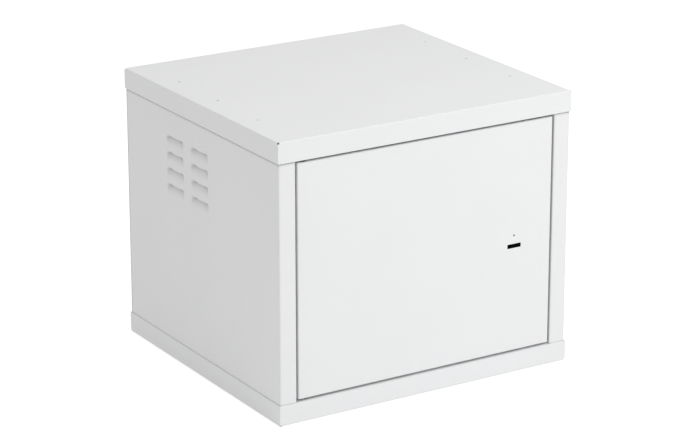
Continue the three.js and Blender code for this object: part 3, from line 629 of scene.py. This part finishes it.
def louvre_droop(along):
    """How far the cut edge has curved down at a distance from the louvre's middle."""
    past = abs(along) - (LOUVRE_LENGTH / 2 - LOUVRE_CORNER)
    if past <= 0:
        return 0.0
    past = min(past, LOUVRE_CORNER)
    return LOUVRE_CORNER - math.sqrt(LOUVRE_CORNER**2 - past**2)


def louvre_depth(along, kind, share):
    """How far in the metal is, at a place along the louvre, from the cut (share 0) to the skin (share 1)."""
    from_end = LOUVRE_LENGTH / 2 - abs(along)
    reach = LOUVRE_DEPTH * smoothstep(from_end / LOUVRE_END)
    if kind == "pressed":
        return reach * (1 - share) ** PRESSED_POWER
    opening = LOUVRE_OPENING * smoothstep((from_end - LOUVRE_CORNER) / (1.5 * LOUVRE_CORNER))
    return (reach - opening) * (1 - share) ** SHOULDER_POWER


def side_panel(name, side, low, high):
    """One sheet, folded round the front corner into a stile and a jamb, and at the back into a flange."""
    radius = BEND_OUTSIDE
    skin, front, rear = high.x, low.y, high.y
    turned_in = 20 * MM
    plan = [(MOUTH_HALF, front + turned_in)]
    plan += arc((MOUTH_HALF + radius, front + radius), radius, 180, 270)
    plan += arc((skin - radius, front + radius), radius, 270, 360)
    columns = []
    for centre in LOUVRE_CENTRES:
        columns.append((centre - LOUVRE_LENGTH / 2 - LOUVRE_MARGIN, None))
        for i in range(LOUVRE_COLUMNS + 1):
            columns.append((centre + (i / LOUVRE_COLUMNS - 0.5) * LOUVRE_LENGTH, centre))
        columns.append((centre + LOUVRE_LENGTH / 2 + LOUVRE_MARGIN, None))
    first = len(plan)
    plan += [(skin, y) for y, _ in columns]
    plan += arc((skin - radius, rear - radius), radius, 0, 90)
    plan += [(skin - turned_in, rear)]
    along_of = {first + i: y - centre for i, (y, centre) in enumerate(columns) if centre is not None}

    rows = [(low.z, None, 0.0)]
    for row in reversed(range(LOUVRE_ROWS)):
        top = LOUVRE_TOP - row * LOUVRE_PITCH
        rows.append((top - LOUVRE_HEIGHT - 1.5 * LOUVRE_MARGIN, None, 0.0))
        rows += [(top, "pressed", 1 - i / PRESSED_ROWS) for i in range(PRESSED_ROWS + 1)]
        rows += [(top, "shoulder", i / SHOULDER_ROWS) for i in range(SHOULDER_ROWS + 1)]
    rows.append((high.z, None, 0.0))

    verts, faces = [], []
    for z, kind, share in rows:
        for c, (x, y) in enumerate(plan):
            depth = droop = 0.0
            if kind and c in along_of:
                depth = louvre_depth(along_of[c], kind, share)
                droop = louvre_droop(along_of[c])
            verts.append((side * (x - depth), y, z - droop - share * (LOUVRE_FALL[kind] - droop)))
    wide = len(plan)
    for r, (lower, upper) in enumerate(zip(rows, rows[1:])):
        start = r * wide
        if lower[1] != "pressed" or upper[1] != "shoulder":
            for v in range(start, start + wide - 1):
                faces.append((v, v + 1, v + 1 + wide, v + wide))
            continue
        # this is a cut; away from the louvres its two rows are one, so that the sheet has no slit there
        for c in range(wide):
            if abs(abs(along_of.get(c, LOUVRE_LENGTH / 2)) - LOUVRE_LENGTH / 2) < 1e-9:
                verts[start + wide + c] = verts[start + c]
    obj = new_object(name, verts, faces)
    face_outward(obj, Vector((side, -0.2, 0)))
    thicken(obj)
    flange_width, flange_front, flange_rear = 40 * MM, front + 25 * MM, rear - 8 * MM
    flanges = []
    for z in (low.z, high.z - SHEET):
        x = sorted((side * (skin - SHEET), side * (skin - flange_width)))
        flanges.append(block((x[0], flange_front, z), (x[1], flange_rear, z + SHEET)))
    return soften(joined([obj, *flanges], name), angle=60)


def face_outward(obj, direction):
    """Turns all faces so that most of their area looks along a direction."""
    total = sum((f.normal * f.area for f in obj.data.polygons), Vector())
    if total.dot(direction) < 0:
        obj.data.flip_normals()


def build_side_panels():
    low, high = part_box("right_side_panel")
    for side, node_name in ((-1, "left_side_panel"), (1, "right_side_panel")):
        panel = side_panel(f"{node_name}_sheet", side, low, high)
        paint(stand_in(panel, node_name), SIDE_COAT_PAINTED_SHADE)


# ---- door

BUTTON_SLOT = (11, 3, 0.6)  # half length, half height and corner radius in millimetres
LIGHT_HOLE_RADIUS = 1.4 * MM
BUSH_HOLE_RADIUS = 4.8 * MM


def door_sheet():
    """The door: a pan with rounded folds, returns and hems, wider at the lock side."""
    radius = BEND_OUTSIDE
    half, bottom, top = DOOR_HIGH.x, DOOR_LOW.z, DOOR_HIGH.z
    front, rear = DOOR_LOW.y, DOOR_HIGH.y
    hem, lock_hem = 13 * MM, 41 * MM
    path = [(radius - a, radius - a, front + radius - b) for a, b in arc((0, 0), radius, 90, 0)]
    path += [(radius - a, radius - a, rear - radius + b) for a, b in arc((0, 0), radius, 0, 90)]
    path.append((hem, lock_hem, rear))
    rings = []
    for inset, lock_inset, y in path:
        x0, x1 = -half + inset, half - lock_inset
        z0, z1 = bottom + inset, top - inset
        rings.append([(x0, y, z0), (x1, y, z0), (x1, y, z1), (x0, y, z1)])
    verts, faces = skin_rings(rings, closed_ends=False)
    obj = new_object("door_folded_sheet", verts, [(0, 1, 2, 3), *faces])
    thicken(obj)
    button, light = middle_of("release_button"), middle_of("status_light")
    hinge = middle_of("hinge_bush_upper")
    before, behind = front - 5 * MM, front + 5 * MM
    slot = prism(centred_outline(button.x, button.z, *BUTTON_SLOT), "y", before, behind)
    light_hole = rod(LIGHT_HOLE_RADIUS, (light.x, before, light.z), (light.x, behind, light.z), 32)
    under, over = (hinge.x, hinge.y, bottom - 9 * MM), (hinge.x, hinge.y, top + 9 * MM)
    carve(obj, [slot, light_hole, rod(BUSH_HOLE_RADIUS, under, over, 48)])
    soften(obj)
    paint(stand_in(obj, "door_panel", body="door"), DOOR_COAT_PAINTED_SHADE)


# ---- screws, rivets, hinge

def screw_head(place, axis, radius):
    """A pan head with a cross recess, standing on a face."""
    height = 0.55 * radius
    dome = [(radius * u, height * (0.35 + 0.65 * v)) for u, v in arc((0, 0), 1, 0, 90, 8)]
    head = turned([(0, 0), (radius, 0), *dome], sides=36)
    arm, half = 0.55 * radius, 0.11 * radius
    for u, v in ((arm, half), (half, arm)):
        carve(head, [block((-u, -v, 0.4 * height), (u, v, 2 * height))])
    turn = Vector(axis).to_track_quat("Z", "Y").to_matrix().to_4x4()
    head.data.transform(Matrix.Translation(Vector(place)) @ turn)
    return head


def rivet_head(place, axis, radius):
    dome = [(radius * u, 0.45 * radius * v) for u, v in arc((0, 0), 1, 0, 90, 6)]
    return turned([(0, 0), *dome], place, axis, 28)


def finished(shapes, name, slot, angle):
    """Several shapes as one piece, in a slot's finish, shaded smooth but for edges sharper than an angle."""
    obj = joined(shapes, name)
    shade_smooth(obj, angle)
    paint(obj, FINISHES[slot])
    return obj


def detail(shapes, name, slot, node_name=None, body="cabinet"):
    """A piece that rides on one body; it may take the place of a CAD node."""
    obj = finished(shapes, name, slot, 40)
    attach(obj, body)
    if node_name:
        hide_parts(node_name)


def yielding(shapes, name, slot, node_name):
    """A piece that takes the place of a CAD node, with its place baked into its mesh."""
    obj = finished(shapes, name, slot, 60)
    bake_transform(obj)
    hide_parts(node_name)


def build_rear_screws():
    for number in range(1, 5):
        node_name = f"rear_screw_{number}"
        start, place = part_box(node_name)[0].y, middle_of(node_name)
        place.y = REAR_FACE + 0.2 * MM
        head = screw_head(place, (0, 1, 0), 4 * MM)
        shank = rod(1.95 * MM, (place.x, start, place.z), place + Vector((0, 0.3 * MM, 0)), 24)
        detail([head, shank], f"rear_panel_screw_{number}", "bright_steel", node_name)


def build_hinges():
    for end, up in (("upper", 1), ("lower", -1)):
        low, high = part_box(f"hinge_pin_{end}")
        centre = (low + high) / 2
        centre.z = low.z if up > 0 else high.z
        length = (high.z - low.z) / MM
        profile = [(0, 0), (1.9, 0), (2.5, 0.8), (2.5, length - 2.1), (4.5, length - 2.1)]
        profile += [(4.5, length - 0.5), (4.0, length), (0, length)]
        pin = turned(in_mm(profile), centre, (0, 0, up), 48)
        detail([pin], f"hinge_pin_{end}_turned", "bright_steel", f"hinge_pin_{end}")
        low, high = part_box(f"hinge_bush_{end}")
        centre.z = low.z if up > 0 else high.z
        profile = [(2.6, 0), (4.5, 0), (4.5, 3.7), (6, 3.7), (6, 5.7), (4.5, 5.7), (4.5, 7.0)]
        profile += [(4.3, 7.2), (2.6, 7.2), (2.6, 0)]
        bush = turned(in_mm(profile), centre, (0, 0, up), 48, closed_ends=False)
        detail([bush], f"hinge_bush_{end}_moulded", "black_plastic", f"hinge_bush_{end}", body="door")


# ---- door's fittings

def build_strike():
    """A plate on the door's hem with a round staple bent from one bar, and two screws."""
    low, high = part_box("door_strike")
    middle = (low + high) / 2
    seat = low.y + 0.6 * MM
    plate_back = DOOR_HIGH.y + 2.3 * MM
    outline = rounded_outline(low.x, high.x, low.z, high.z, 3 * MM)
    plate = prism(outline, "y", DOOR_HIGH.y + 0.3 * MM, plate_back)
    bar, bend = 2 * MM, 3.2 * MM
    x0, x1 = LOCK_X - 11.2 * MM, LOCK_X + 11.2 * MM
    end = high.y - bar
    route = [(x0, seat), *arc((x0 + bend, end - bend), bend, 180, 90, 8)]
    route += [*arc((x1 - bend, end - bend), bend, 90, 0, 8), (x1, seat)]
    staple = swept([Vector((u, v, middle.z)) for u, v in route], bar, 24)
    evaluated(soften(plate, 0.4 * MM))
    heights = (middle.z - 9 * MM, middle.z + 9 * MM)
    screws = [screw_head((LOCK_X, plate_back, z), (0, 1, 0), 2.6 * MM) for z in heights]
    detail([plate, staple, *screws], "door_strike_staple", "bright_steel", "door_strike", body="door")


def build_stiffener_rivets():
    """Rivets through the flanges of the door's stiffener."""
    low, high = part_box("door_stiffener")
    rows, margin = 5, 18 * MM
    pitch = (high.z - low.z - 2 * margin) / (rows - 1)
    rivets = []
    for x in (low.x + 8 * MM, high.x - 8 * MM):
        for row in range(rows):
            place = (x, low.y + SHEET, low.z + margin + row * pitch)
            rivets.append(rivet_head(place, (0, 1, 0), 2.4 * MM))
    detail(rivets, "door_stiffener_rivets", "bright_steel", body="door")


def build_bumpers():
    for end in ("upper", "lower"):
        centre = middle_of(f"door_bumper_{end}")
        centre.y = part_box(f"door_bumper_{end}")[0].y
        profile = [(0, 0), (4.2, 0), (4.2, 0.9), *arc((1.6, 0.4), 2.6, 10, 90, 8), (0, 3)]
        pad = turned(in_mm(profile), centre, (0, 1, 0))
        detail([pad], f"door_bumper_{end}_pad", "bumper_rubber", f"door_bumper_{end}", body="door")


def build_button_fittings():
    """The parts and the screws on the back of the button's board."""
    low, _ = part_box("button_board")
    corner = Vector((low.x, low.y + 1.6 * MM, low.z))
    chips = []
    for u, v, wide, tall in ((6, 6, 6, 5), (17, 20, 5, 7), (25, 14, 3, 3), (25, 6, 2, 3)):
        place = corner + Vector((u, 0, v)) * MM
        chips.append(soft_block(place, place + Vector((wide, 1.3, tall)) * MM, 0.25 * MM))
    detail(chips, "button_board_chips", "black_plastic", body="door")
    places = [corner + Vector((u, 0, v)) * MM for u, v in ((28.5, 3.5), (3.5, 26), (28.5, 26))]
    screws = [screw_head(place, (0, 1, 0), 2.2 * MM) for place in places]
    detail(screws, "button_board_screws", "bright_steel", body="door")


def door_harness():
    """The button's lead: down inside the door, and in a slack loop past the hinge to the controller."""
    low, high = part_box("button_board")
    hinge = middle_of("hinge_pin_lower")
    wall = -SIDE_SKIN + 3 * MM
    plug = Vector((low.x + 6 * MM, high.y, high.z - 12 * MM))
    inner = DOOR_HIGH.y - 6 * MM
    run = inner - 3 * MM
    route = [plug + Vector(step) * MM for step in ((0, 1, 0), (-1, 3.5, -8), (-7, -4, -38))]
    route += [(0.104, inner - 2 * MM, 0.100), (0.086, run, 0.052), (0.050, run, 0.0395), (-0.06, run, 0.0385)]
    route += [(-0.150, run, 0.0395), (hinge.x + 20 * MM, inner + 1 * MM, 0.050)]
    route += [(hinge.x + 13 * MM, hinge.y + 24 * MM, 0.066), (hinge.x - 4 * MM, hinge.y + 36 * MM, 0.076)]
    route += [(wall + 2 * MM, hinge.y + 56 * MM, 0.078), (wall, -0.100, 0.072), (wall, -0.040, 0.062)]
    route.append((wall + 1 * MM, 0.020, 0.040))
    route += [(wall + 14 * MM, 0.048, 0.024), (CONTROLLER_LOW.x + 30 * MM, CONTROLLER_LOW.y + 1 * MM, 0.022)]
    lead = swept(spline(route, 10), 1.6 * MM, 14)
    relief = strain_relief(route[0], route[1], 2.6 * MM, 1.9 * MM, 3)
    shapes = [lead, relief]
    yielding(shapes, "door_harness_lead", "cable_sheath", "door_harness")
    plug_block = soft_block(plug + Vector((-4.6, -3.5, -1)) * MM, plug + Vector((4.6, 1.6, 7)) * MM, 0.5 * MM)
    detail([plug_block], "door_harness_plug", "grey_plastic", body="door")
    places = ((-0.130, 0.0385), (-0.070, 0.0385), (0.062, 0.0425))
    clips = [saddle(x, run, z, 2.0 * MM) for x, z in places]
    detail(clips, "door_harness_clips", "black_plastic", body="door")


def saddle(x, y, z, radius):
    """A clip round a lead that runs along X, stuck to the door's face in front of it."""
    ring = [(y + radius * 1.35 * u, z + radius * 1.35 * v) for u, v in circle(16)]
    hoop = prism(ring, "x", x - 3 * MM, x + 3 * MM)
    foot_low = (x - 6 * MM, DOOR_LOW.y + SHEET, z - 5 * MM)
    foot_high = (x + 6 * MM, y - radius * 0.4, z + 5 * MM)
    return joined([hoop, soft_block(foot_low, foot_high, 0.5 * MM)], "clip")


# ---- lock

def build_lock():
    low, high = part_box("lock_case")
    face = low.x + 0.02 * MM
    places = [(low.y + dy * MM, z) for dy in (6, 78) for z in (low.z + 7 * MM, high.z - 7 * MM)]
    rivets = [rivet_head((face, y, z), (-1, 0, 0), 2.6 * MM) for y, z in places]
    detail(rivets, "lock_case_rivets", "bright_steel")
    pivot = rivet_head((face, *LOCK_PIVOT), (-1, 0, 0), 3.6 * MM)
    detail([pivot], "lock_pivot_rivet", "bright_steel")
    ribs = []
    for up in (22 * MM, 16 * MM):
        z = middle_of("lock_case").z + up
        curve = [Vector((low.x + 0.3 * MM, low.y + dy * MM, z)) for dy in (40, 42, 66, 68)]
        ribs.append(swept(curve, [0.3 * MM, 1.0 * MM, 1.0 * MM, 0.3 * MM], 16))
    detail(ribs, "lock_case_ribs", "galvanised_steel")


def build_spring():
    """The plunger's spring: a true coil with closed end turns."""
    low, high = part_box("plunger_spring")
    x, _, z = middle_of("plunger_spring")
    wire = 0.32 * MM
    radius = (high.x - low.x) / 2 - wire
    turns, steps = 4.5, 24
    curve = []
    for step in range(int(turns * steps) + 1):
        share = step / (turns * steps)
        angle = 2 * math.pi * step / steps
        along = high.y - wire - (high.y - low.y - 2 * wire) * smoothstep(share)
        curve.append(Vector((x + radius * math.cos(angle), along, z + radius * math.sin(angle))))
    coil = [swept(curve, wire, 10)]
    yielding(coil, "plunger_spring_coil", "bright_steel", "plunger_spring")


# ---- racks

RACK_BAYS = 5
RACK_BASE = 3 * MM
DIVIDER = 1.5 * MM


def rack(level_name):
    """Five bays between upright fences, with a stop at the front and back of each."""
    node_name = f"phone_rack_{level_name}"
    low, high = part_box(node_name)
    pitch = (high.x - low.x - DIVIDER) / RACK_BAYS
    top = high.z
    corner = 14 * MM
    fence = [(low.y, low.z + 1 * MM), (high.y, low.z + 1 * MM), (high.y, top - corner)]
    fence += arc((high.y - corner, top - corner), corner, 0, 90, 12)
    first, second = Vector((low.y + 60 * MM, top)), Vector((low.y + 26 * MM, top))
    third, last = Vector((low.y + 24 * MM, low.z + 34 * MM)), Vector((low.y, low.z + 28 * MM))
    for step in range(25):
        t = step / 24
        point = first * (1 - t) ** 3 + second * 3 * t * (1 - t) ** 2
        point += third * 3 * t * t * (1 - t) + last * t**3
        fence.append(tuple(point))
    base = block(low, (high.x, high.y, low.z + RACK_BASE))
    stops = [
        block((low.x, high.y - 2.5 * MM, low.z), (high.x, high.y, low.z + 9 * MM)),
        block(low, (high.x, low.y + 2.5 * MM, low.z + 6 * MM)),
    ]
    starts = [low.x + index * pitch for index in range(RACK_BAYS + 1)]
    fuse(base, stops + [prism(fence, "x", x, x + DIVIDER) for x in starts])
    base.name = f"{node_name}_moulding"
    soften(base, 0.35 * MM, 40, 3)
    stand_in(base, node_name)
    mats = []
    for x in starts[:-1]:
        x0 = x + DIVIDER + 3 * MM
        x1 = x0 + pitch - DIVIDER - 6 * MM
        mats.append(ribbed_mat(x0, x1, low.y + 6 * MM, low.y + 66 * MM, low.z + RACK_BASE))
    detail(mats, f"{node_name}_mats", "bumper_rubber")


def ribbed_mat(x0, x1, y0, y1, z):
    """A rubber mat with round ribs across it, under the phone's foot."""
    ribs = 12
    outline = [(y0, z + 0.02 * MM)]
    for index in range(ribs * 8 + 1):
        share = index / (ribs * 8)
        height = 0.9 + 0.5 * abs(math.sin(share * ribs * math.pi))
        outline.append((y0 + (y1 - y0) * share, z + height * MM))
    outline.append((y1, z + 0.02 * MM))
    return prism(outline, "x", x0, x1)


# ---- chargers and leads

PORT_HEIGHT = 14 * MM
PORT_OPENING = (8, 4.6, 1)  # half width, half height and corner radius in millimetres
PORT_PITCH = 62 * MM
LIGHT_RISE = 9 * MM  # from a port up to its light
CHARGER_WALL = 2 * MM
GLAND_Y = 120 * MM
VENTS = [(34 + 11 * index, 18 + 32 * row) for row in (0, 1) for index in range(22)]


def lid_seam(case, low, high):
    """A groove round a case, cut from its four sides."""
    seam, depth = low.z + 23.5 * MM, 0.7 * MM
    for axis in (0, 1):
        grooves = []
        for side in (0, 1):
            start, end = [low.x - MM, low.y - MM, seam], [high.x + MM, high.y + MM, seam + depth]
            if side:
                start[axis] = high[axis] - depth
            else:
                end[axis] = low[axis] + depth
            grooves.append(block(start, end))
        carve(case, grooves)


def charger(level_name):
    """A moulded case with a lid seam, vents, port openings and a light over each."""
    node_name = f"charger_case_{level_name}"
    low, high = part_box(node_name)
    case = prism(rounded_outline(low.x, high.x, low.y, high.y, 3 * MM, 6), "z", low.z, high.z)
    add_bevel(case, 1.0 * MM, 3, 50)
    evaluated(case)
    carve(case, [block([c + CHARGER_WALL for c in low], [c - CHARGER_WALL for c in high])])
    ports = [low.x + (high.x - low.x) / 2 + index * PORT_PITCH for index in range(-2, 3)]
    z = low.z + PORT_HEIGHT
    light_z = z + LIGHT_RISE
    before, behind = low.y - 2 * MM, low.y + 3 * MM
    windows = []
    for x in ports:
        windows.append(prism(centred_outline(x, z, *PORT_OPENING), "y", before, behind))
        windows.append(rod(1.3 * MM, (x, before, light_z), (x, behind, light_z), 24))
    windows.append(rod(4 * MM, (high.x - 5 * MM, GLAND_Y, z), (high.x + 5 * MM, GLAND_Y, z)))
    carve(case, windows)
    vents = []
    for right, back in VENTS:
        outline = centred_outline(low.x + right * MM, low.y + (back + 12) * MM, 1.3, 12, 1.2, 3)
        vents.append(prism(outline, "z", high.z - 3 * MM, high.z + MM))
    carve(case, vents)
    lid_seam(case, low, high)
    case.name = f"{node_name}_moulding"
    stand_in(soften(case, 0.2 * MM), node_name)
    dome = in_mm([(0, 0), (1.2, 0), (1.2, 2.0), (0.8, 2.4), (0, 2.5)])
    lights = [turned(dome, (x, low.y + 2.2 * MM, light_z), (0, -1, 0), 24) for x in ports]
    detail(lights, f"charger_lights_{level_name}", "light_lens")
    places = [(x, y) for x in (low.x + 8 * MM, high.x - 8 * MM) for y in (low.y + 9 * MM, high.y - 9 * MM)]
    screws = [screw_head((x, y, high.z - 0.1 * MM), (0, 0, 1), 2.6 * MM) for x, y in places]
    detail(screws, f"charger_screws_{level_name}", "bright_steel")
    profile = [(2.9, 0), (5.4, 0), (5.4, 1.6), (4.4, 2.4), (4.4, 9), (3.4, 10), (2.9, 10)]
    gland = turned(in_mm(profile), (high.x - 0.2 * MM, GLAND_Y, z), (1, 0, 0), 32)
    detail([gland], f"charger_gland_{level_name}", "black_plastic")


def charging_lead(number):
    """A plug in its port, a slack lead over the rack's back stop and the phone's connector in the bay."""
    low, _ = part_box(f"charge_cable_{number}")
    x, level = low.x + 7.6 * MM, low.z - 5 * MM
    port_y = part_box("charger_case_lower")[0].y

    def at(right, back, up):
        return Vector((x + right * MM, port_y + back * MM, level + up * MM))

    slack = math.sin(number * 2.4) * 2.2
    grip = soft_block(at(-7.6, -21.5, 10.2), at(7.6, -1.5, 17.8), 1.9 * MM)
    relief = strain_relief(at(0, -20, 14), at(0, -33, 14.4), 3.0 * MM, 2.0 * MM)
    phone_grip = soft_block(at(15.5, -144, 5), at(24.5, -125, 11), 2.6 * MM, 5)
    phone_relief = strain_relief(at(20, -126, 8), at(20, -114, 8), 2.7 * MM, 1.9 * MM)
    route = [at(0, -30, 14.3), at(0.5, -36, 14.8), at(6 + slack, -50, 16), at(12 + slack, -64, 14.5)]
    route += [at(17 + slack, -82, 8), at(20.6, -100, 5.6), at(20, -116, 7.6), at(20, -120, 8)]
    lead = swept(spline(route, 10), 1.7 * MM)
    shapes = [grip, relief, lead, phone_grip, phone_relief]
    detail(shapes, f"charging_lead_{number}", "cable_sheath", f"charge_cable_{number}")
    shell = soft_block(at(-6, -3, 11.8), at(6, 9, 16.2), 0.5 * MM)
    tongue = soft_block(at(15.9, -150.5, 6.8), at(24.1, -143.5, 9.2), 1.1 * MM, 5)
    detail([shell, tongue], f"charging_lead_{number}_contacts", "bright_steel")


def build_mains_leads():
    inlet = middle_of("power_inlet")
    behind_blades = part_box("power_inlet")[0].y - 4 * MM
    ways = {
        "lower": [(inlet.x - 7 * MM, behind_blades, inlet.z), (inlet.x - 4 * MM, 0.140, 0.040)],
        "upper": [(inlet.x + 7 * MM, behind_blades, inlet.z), (0.188, 0.176, 0.090)],
    }
    ways["upper"] += [(0.196, 0.184, 0.170), (0.190, 0.184, 0.220)]
    for level_name, way in ways.items():
        low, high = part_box(f"charger_case_{level_name}")
        z = low.z + PORT_HEIGHT
        way.append((high.x + 26 * MM, GLAND_Y + 4 * MM, z + 4 * MM))
        way += [(high.x + 8 * MM, GLAND_Y, z), (high.x - 3 * MM, GLAND_Y, z)]
        lead = swept(spline(way, 12), 2.9 * MM, 18)
        detail([lead], f"mains_cable_{level_name}", "cable_sheath", f"mains_lead_{level_name}")


def build_lock_lead():
    """Along the rear and right side panels, from the controller to the solenoid."""
    coil_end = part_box("solenoid")[1].y
    route = [(-0.190, CONTROLLER_HIGH.y - 3 * MM, 0.020), (-0.190, 0.172, 0.018), (-0.170, 0.186, 0.012)]
    route += [(-0.060, 0.190, 0.009), (0.060, 0.190, 0.009), (0.170, 0.180, 0.010), (0.206, 0.130, 0.030)]
    route += [(0.212, 0.040, 0.090), (0.206, -0.030, 0.150), (0.192, -0.070, 0.180)]
    route += [(LOCK_X, -0.084, PLUNGER_Z), (LOCK_X, coil_end + 1.5 * MM, PLUNGER_Z)]
    lead = swept(spline(route, 12), 2 * MM)
    relief_ends = [(LOCK_X, y, PLUNGER_Z) for y in (-0.0915, -0.0845)]
    relief = strain_relief(*relief_ends, 3.2 * MM, 2.3 * MM, 3)
    detail([lead, relief], "lock_cable", "cable_sheath", "lock_lead")


# ---- mains inlet

ROCKER_PIVOT = Vector((205.7, 89.5)) * MM  # in Y and Z
ROCKER_REST_TILT = 7  # degrees
ROCKER_FACE_SLOPE = -10.4  # degrees, of each half of its face
DRAWER_DROP = 19  # millimetres, from the inlet's middle down to its fuse drawer
SOCKET = [(-12, -8.2), (12, -8.2), (12, 4.4), (8.2, 8.2), (-8.2, 8.2), (-12, 4.4)]
ISLAND = [(-8.6, -5), (8.6, -5), (8.6, 2.6), (6, 5), (-6, 5), (-8.6, 2.6)]


def build_inlet():
    """The mains inlet: a flanged body with a socket round its blades, and holes for its switch and fuse."""
    low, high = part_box("power_inlet")
    back = REAR_FACE
    middle = middle_of("power_inlet")
    middle.y = back
    x, z = middle.x, middle.z

    def cut_back(outline, depth):
        return prism(outline, "y", back - depth * MM, back + 5 * MM)

    def at(right, deep, up):
        return middle + Vector((right, -deep, up)) * MM

    plate = rounded_outline(low.x, high.x, low.z, high.z, 2.4 * MM)
    flange = prism(plate, "y", back + 0.3 * MM, back + 2.8 * MM)
    add_bevel(flange, 0.6 * MM, 3, 50)
    evaluated(flange)
    fuse(flange, [block(at(-13.5, 30, -29.5), at(13.5, -1, 29.5))])
    socket = cut_back([(x + u, z + v) for u, v in in_mm(SOCKET)], 18)
    rocker = cut_back(centred_outline(x, ROCKER_PIVOT.y, 11, 9, 0.8), 12)
    drawer = block(at(-10.6, 24, -DRAWER_DROP - 4.6), at(10.6, -5, -DRAWER_DROP + 4.6))
    carve(flange, [socket, rocker, drawer])
    island_outline = [(x + u, z + v) for u, v in in_mm(ISLAND)]
    island = prism(island_outline, "y", back - 18.5 * MM, back - 3 * MM)
    moulding = joined([flange, island], "power_inlet_moulding")
    stand_in(soften(moulding, 0.2 * MM), "power_inlet")
    blades = []
    for u, v in ((-7, -2), (0, 2), (7, -2)):
        blades.append(soft_block(at(u - 1, 19, v - 2.2), at(u + 1, 2.6, v + 2.2), 0.3 * MM))
        blades.append(soft_block(at(u - 2.4, 38, -0.4), at(u + 2.4, 29, 0.4), 0.15 * MM))
    detail(blades, "power_inlet_blades", "bright_steel")


def build_rocker_marks():
    """A raised bar and ring on the two halves of the mains switch, as they stand when it is off."""
    pivot = Matrix.Translation((middle_of("rocker_switch").x, *ROCKER_PIVOT))
    tilt = Matrix.Rotation(math.radians(ROCKER_REST_TILT), 4, "X")
    bar = soft_block((-0.3 * MM, -0.1 * MM, -2 * MM), (0.3 * MM, 0.14 * MM, 2 * MM), 0.1 * MM, 2)
    around = [Vector((1.5 * u, 0.02, 1.5 * v)) * MM for u, v in circle(32)]
    ring = swept([*around, around[0]], 0.27 * MM, 8)
    for mark, end in ((bar, 1), (ring, -1)):
        face = Matrix.Rotation(math.radians(end * ROCKER_FACE_SLOPE), 4, "X")
        mark.data.transform(pivot @ tilt @ Matrix.Translation((0, 5.74 * MM, end * 4 * MM)) @ face)
    detail([bar, ring], "rocker_switch_marks", "grey_plastic", body="rocker_switch")


# ---- CAD nodes that keep their shape

def finish_cad_nodes():
    for node_name, obj in frame["nodes"].items():
        paint(obj, FINISHES[SLOT_OF[node_name]])
        if not obj.hide_render:
            clean_cad(obj)


# ---- floor, light, camera

def brightness(tree, for_object, for_camera):
    """One brightness for what lights the object and another for what the camera sees."""
    path = tree.nodes.new("ShaderNodeLightPath")
    return mapped(tree, path.outputs["Is Camera Ray"], 0, 1, for_object, for_camera)


def build_stage():
    floor = new_object("floor", [(-9, -9, 0), (9, -9, 0), (9, 9, 0), (-9, 9, 0)], [(0, 1, 2, 3)])
    floor.location.z = -0.2 * MM
    made, tree, shader, place = material("floor_white")
    cloud = tint(tree, noise(tree, place, 3, 2), (1, 1, 1), 0.90, 0.92)
    glow = {"Emission Color": (1, 1, 1, 1), "Emission Strength": brightness(tree, 0.125, 0.44)}
    feed(tree, shader, {"Base Color": cloud, "Roughness": 0.8, **glow})
    paint(floor, made)


def add_to_scene(name, data, place, toward):
    """An object that stands at a place and looks along a direction."""
    obj = bpy.data.objects.new(name, data)
    obj.location = place
    obj.rotation_euler = toward.to_track_quat("-Z", "Y").to_euler()
    bpy.context.scene.collection.objects.link(obj)
    return obj


def area_light(name, place, target, size, power):
    data = bpy.data.lights.new(name, "AREA")
    data.size = size
    data.energy = power
    add_to_scene(name, data, place, Vector(target) - Vector(place))


def build_lights():
    world = bpy.data.worlds.new("studio")
    bpy.context.scene.world = world
    world.use_nodes = True
    tree = world.node_tree
    glow = {"Color": (1.0, 0.988, 0.977, 1), "Strength": brightness(tree, 0.62, 1.0)}
    feed(tree, tree.nodes["Background"], glow)
    area_light("key", (0.55, -1.5, 1.45), (0, 0, 0.2), 1.3, 11)
    area_light("top", (0.3, -0.2, 3.0), (0, 0, 0.3), 2.4, 15)


def build_camera():
    azimuth, elevation = math.radians(CAMERA_AZIMUTH), math.radians(CAMERA_ELEVATION)
    level = math.cos(elevation)
    away = Vector((math.sin(azimuth) * level, -math.cos(azimuth) * level, math.sin(elevation)))
    data = bpy.data.cameras.new("camera")
    data.lens = CAMERA_LENS
    data.sensor_width = 36
    data.clip_end = 60
    place = CAMERA_TARGET + away * CAMERA_DISTANCE
    bpy.context.scene.camera = add_to_scene("camera", data, place, -away)
    bpy.context.scene.view_settings.view_transform = "Standard"


build_trays()
build_side_panels()
door_sheet()
build_rear_screws()
build_hinges()
build_strike()
build_stiffener_rivets()
build_bumpers()
build_button_fittings()
door_harness()
build_lock()
build_spring()
for level_name in ("lower", "upper"):
    rack(level_name)
    charger(level_name)
for number in range(1, 11):
    charging_lead(number)
build_mains_leads()
build_lock_lead()
build_inlet()
build_rocker_marks()
finish_cad_nodes()
build_stage()
build_lights()
build_camera()
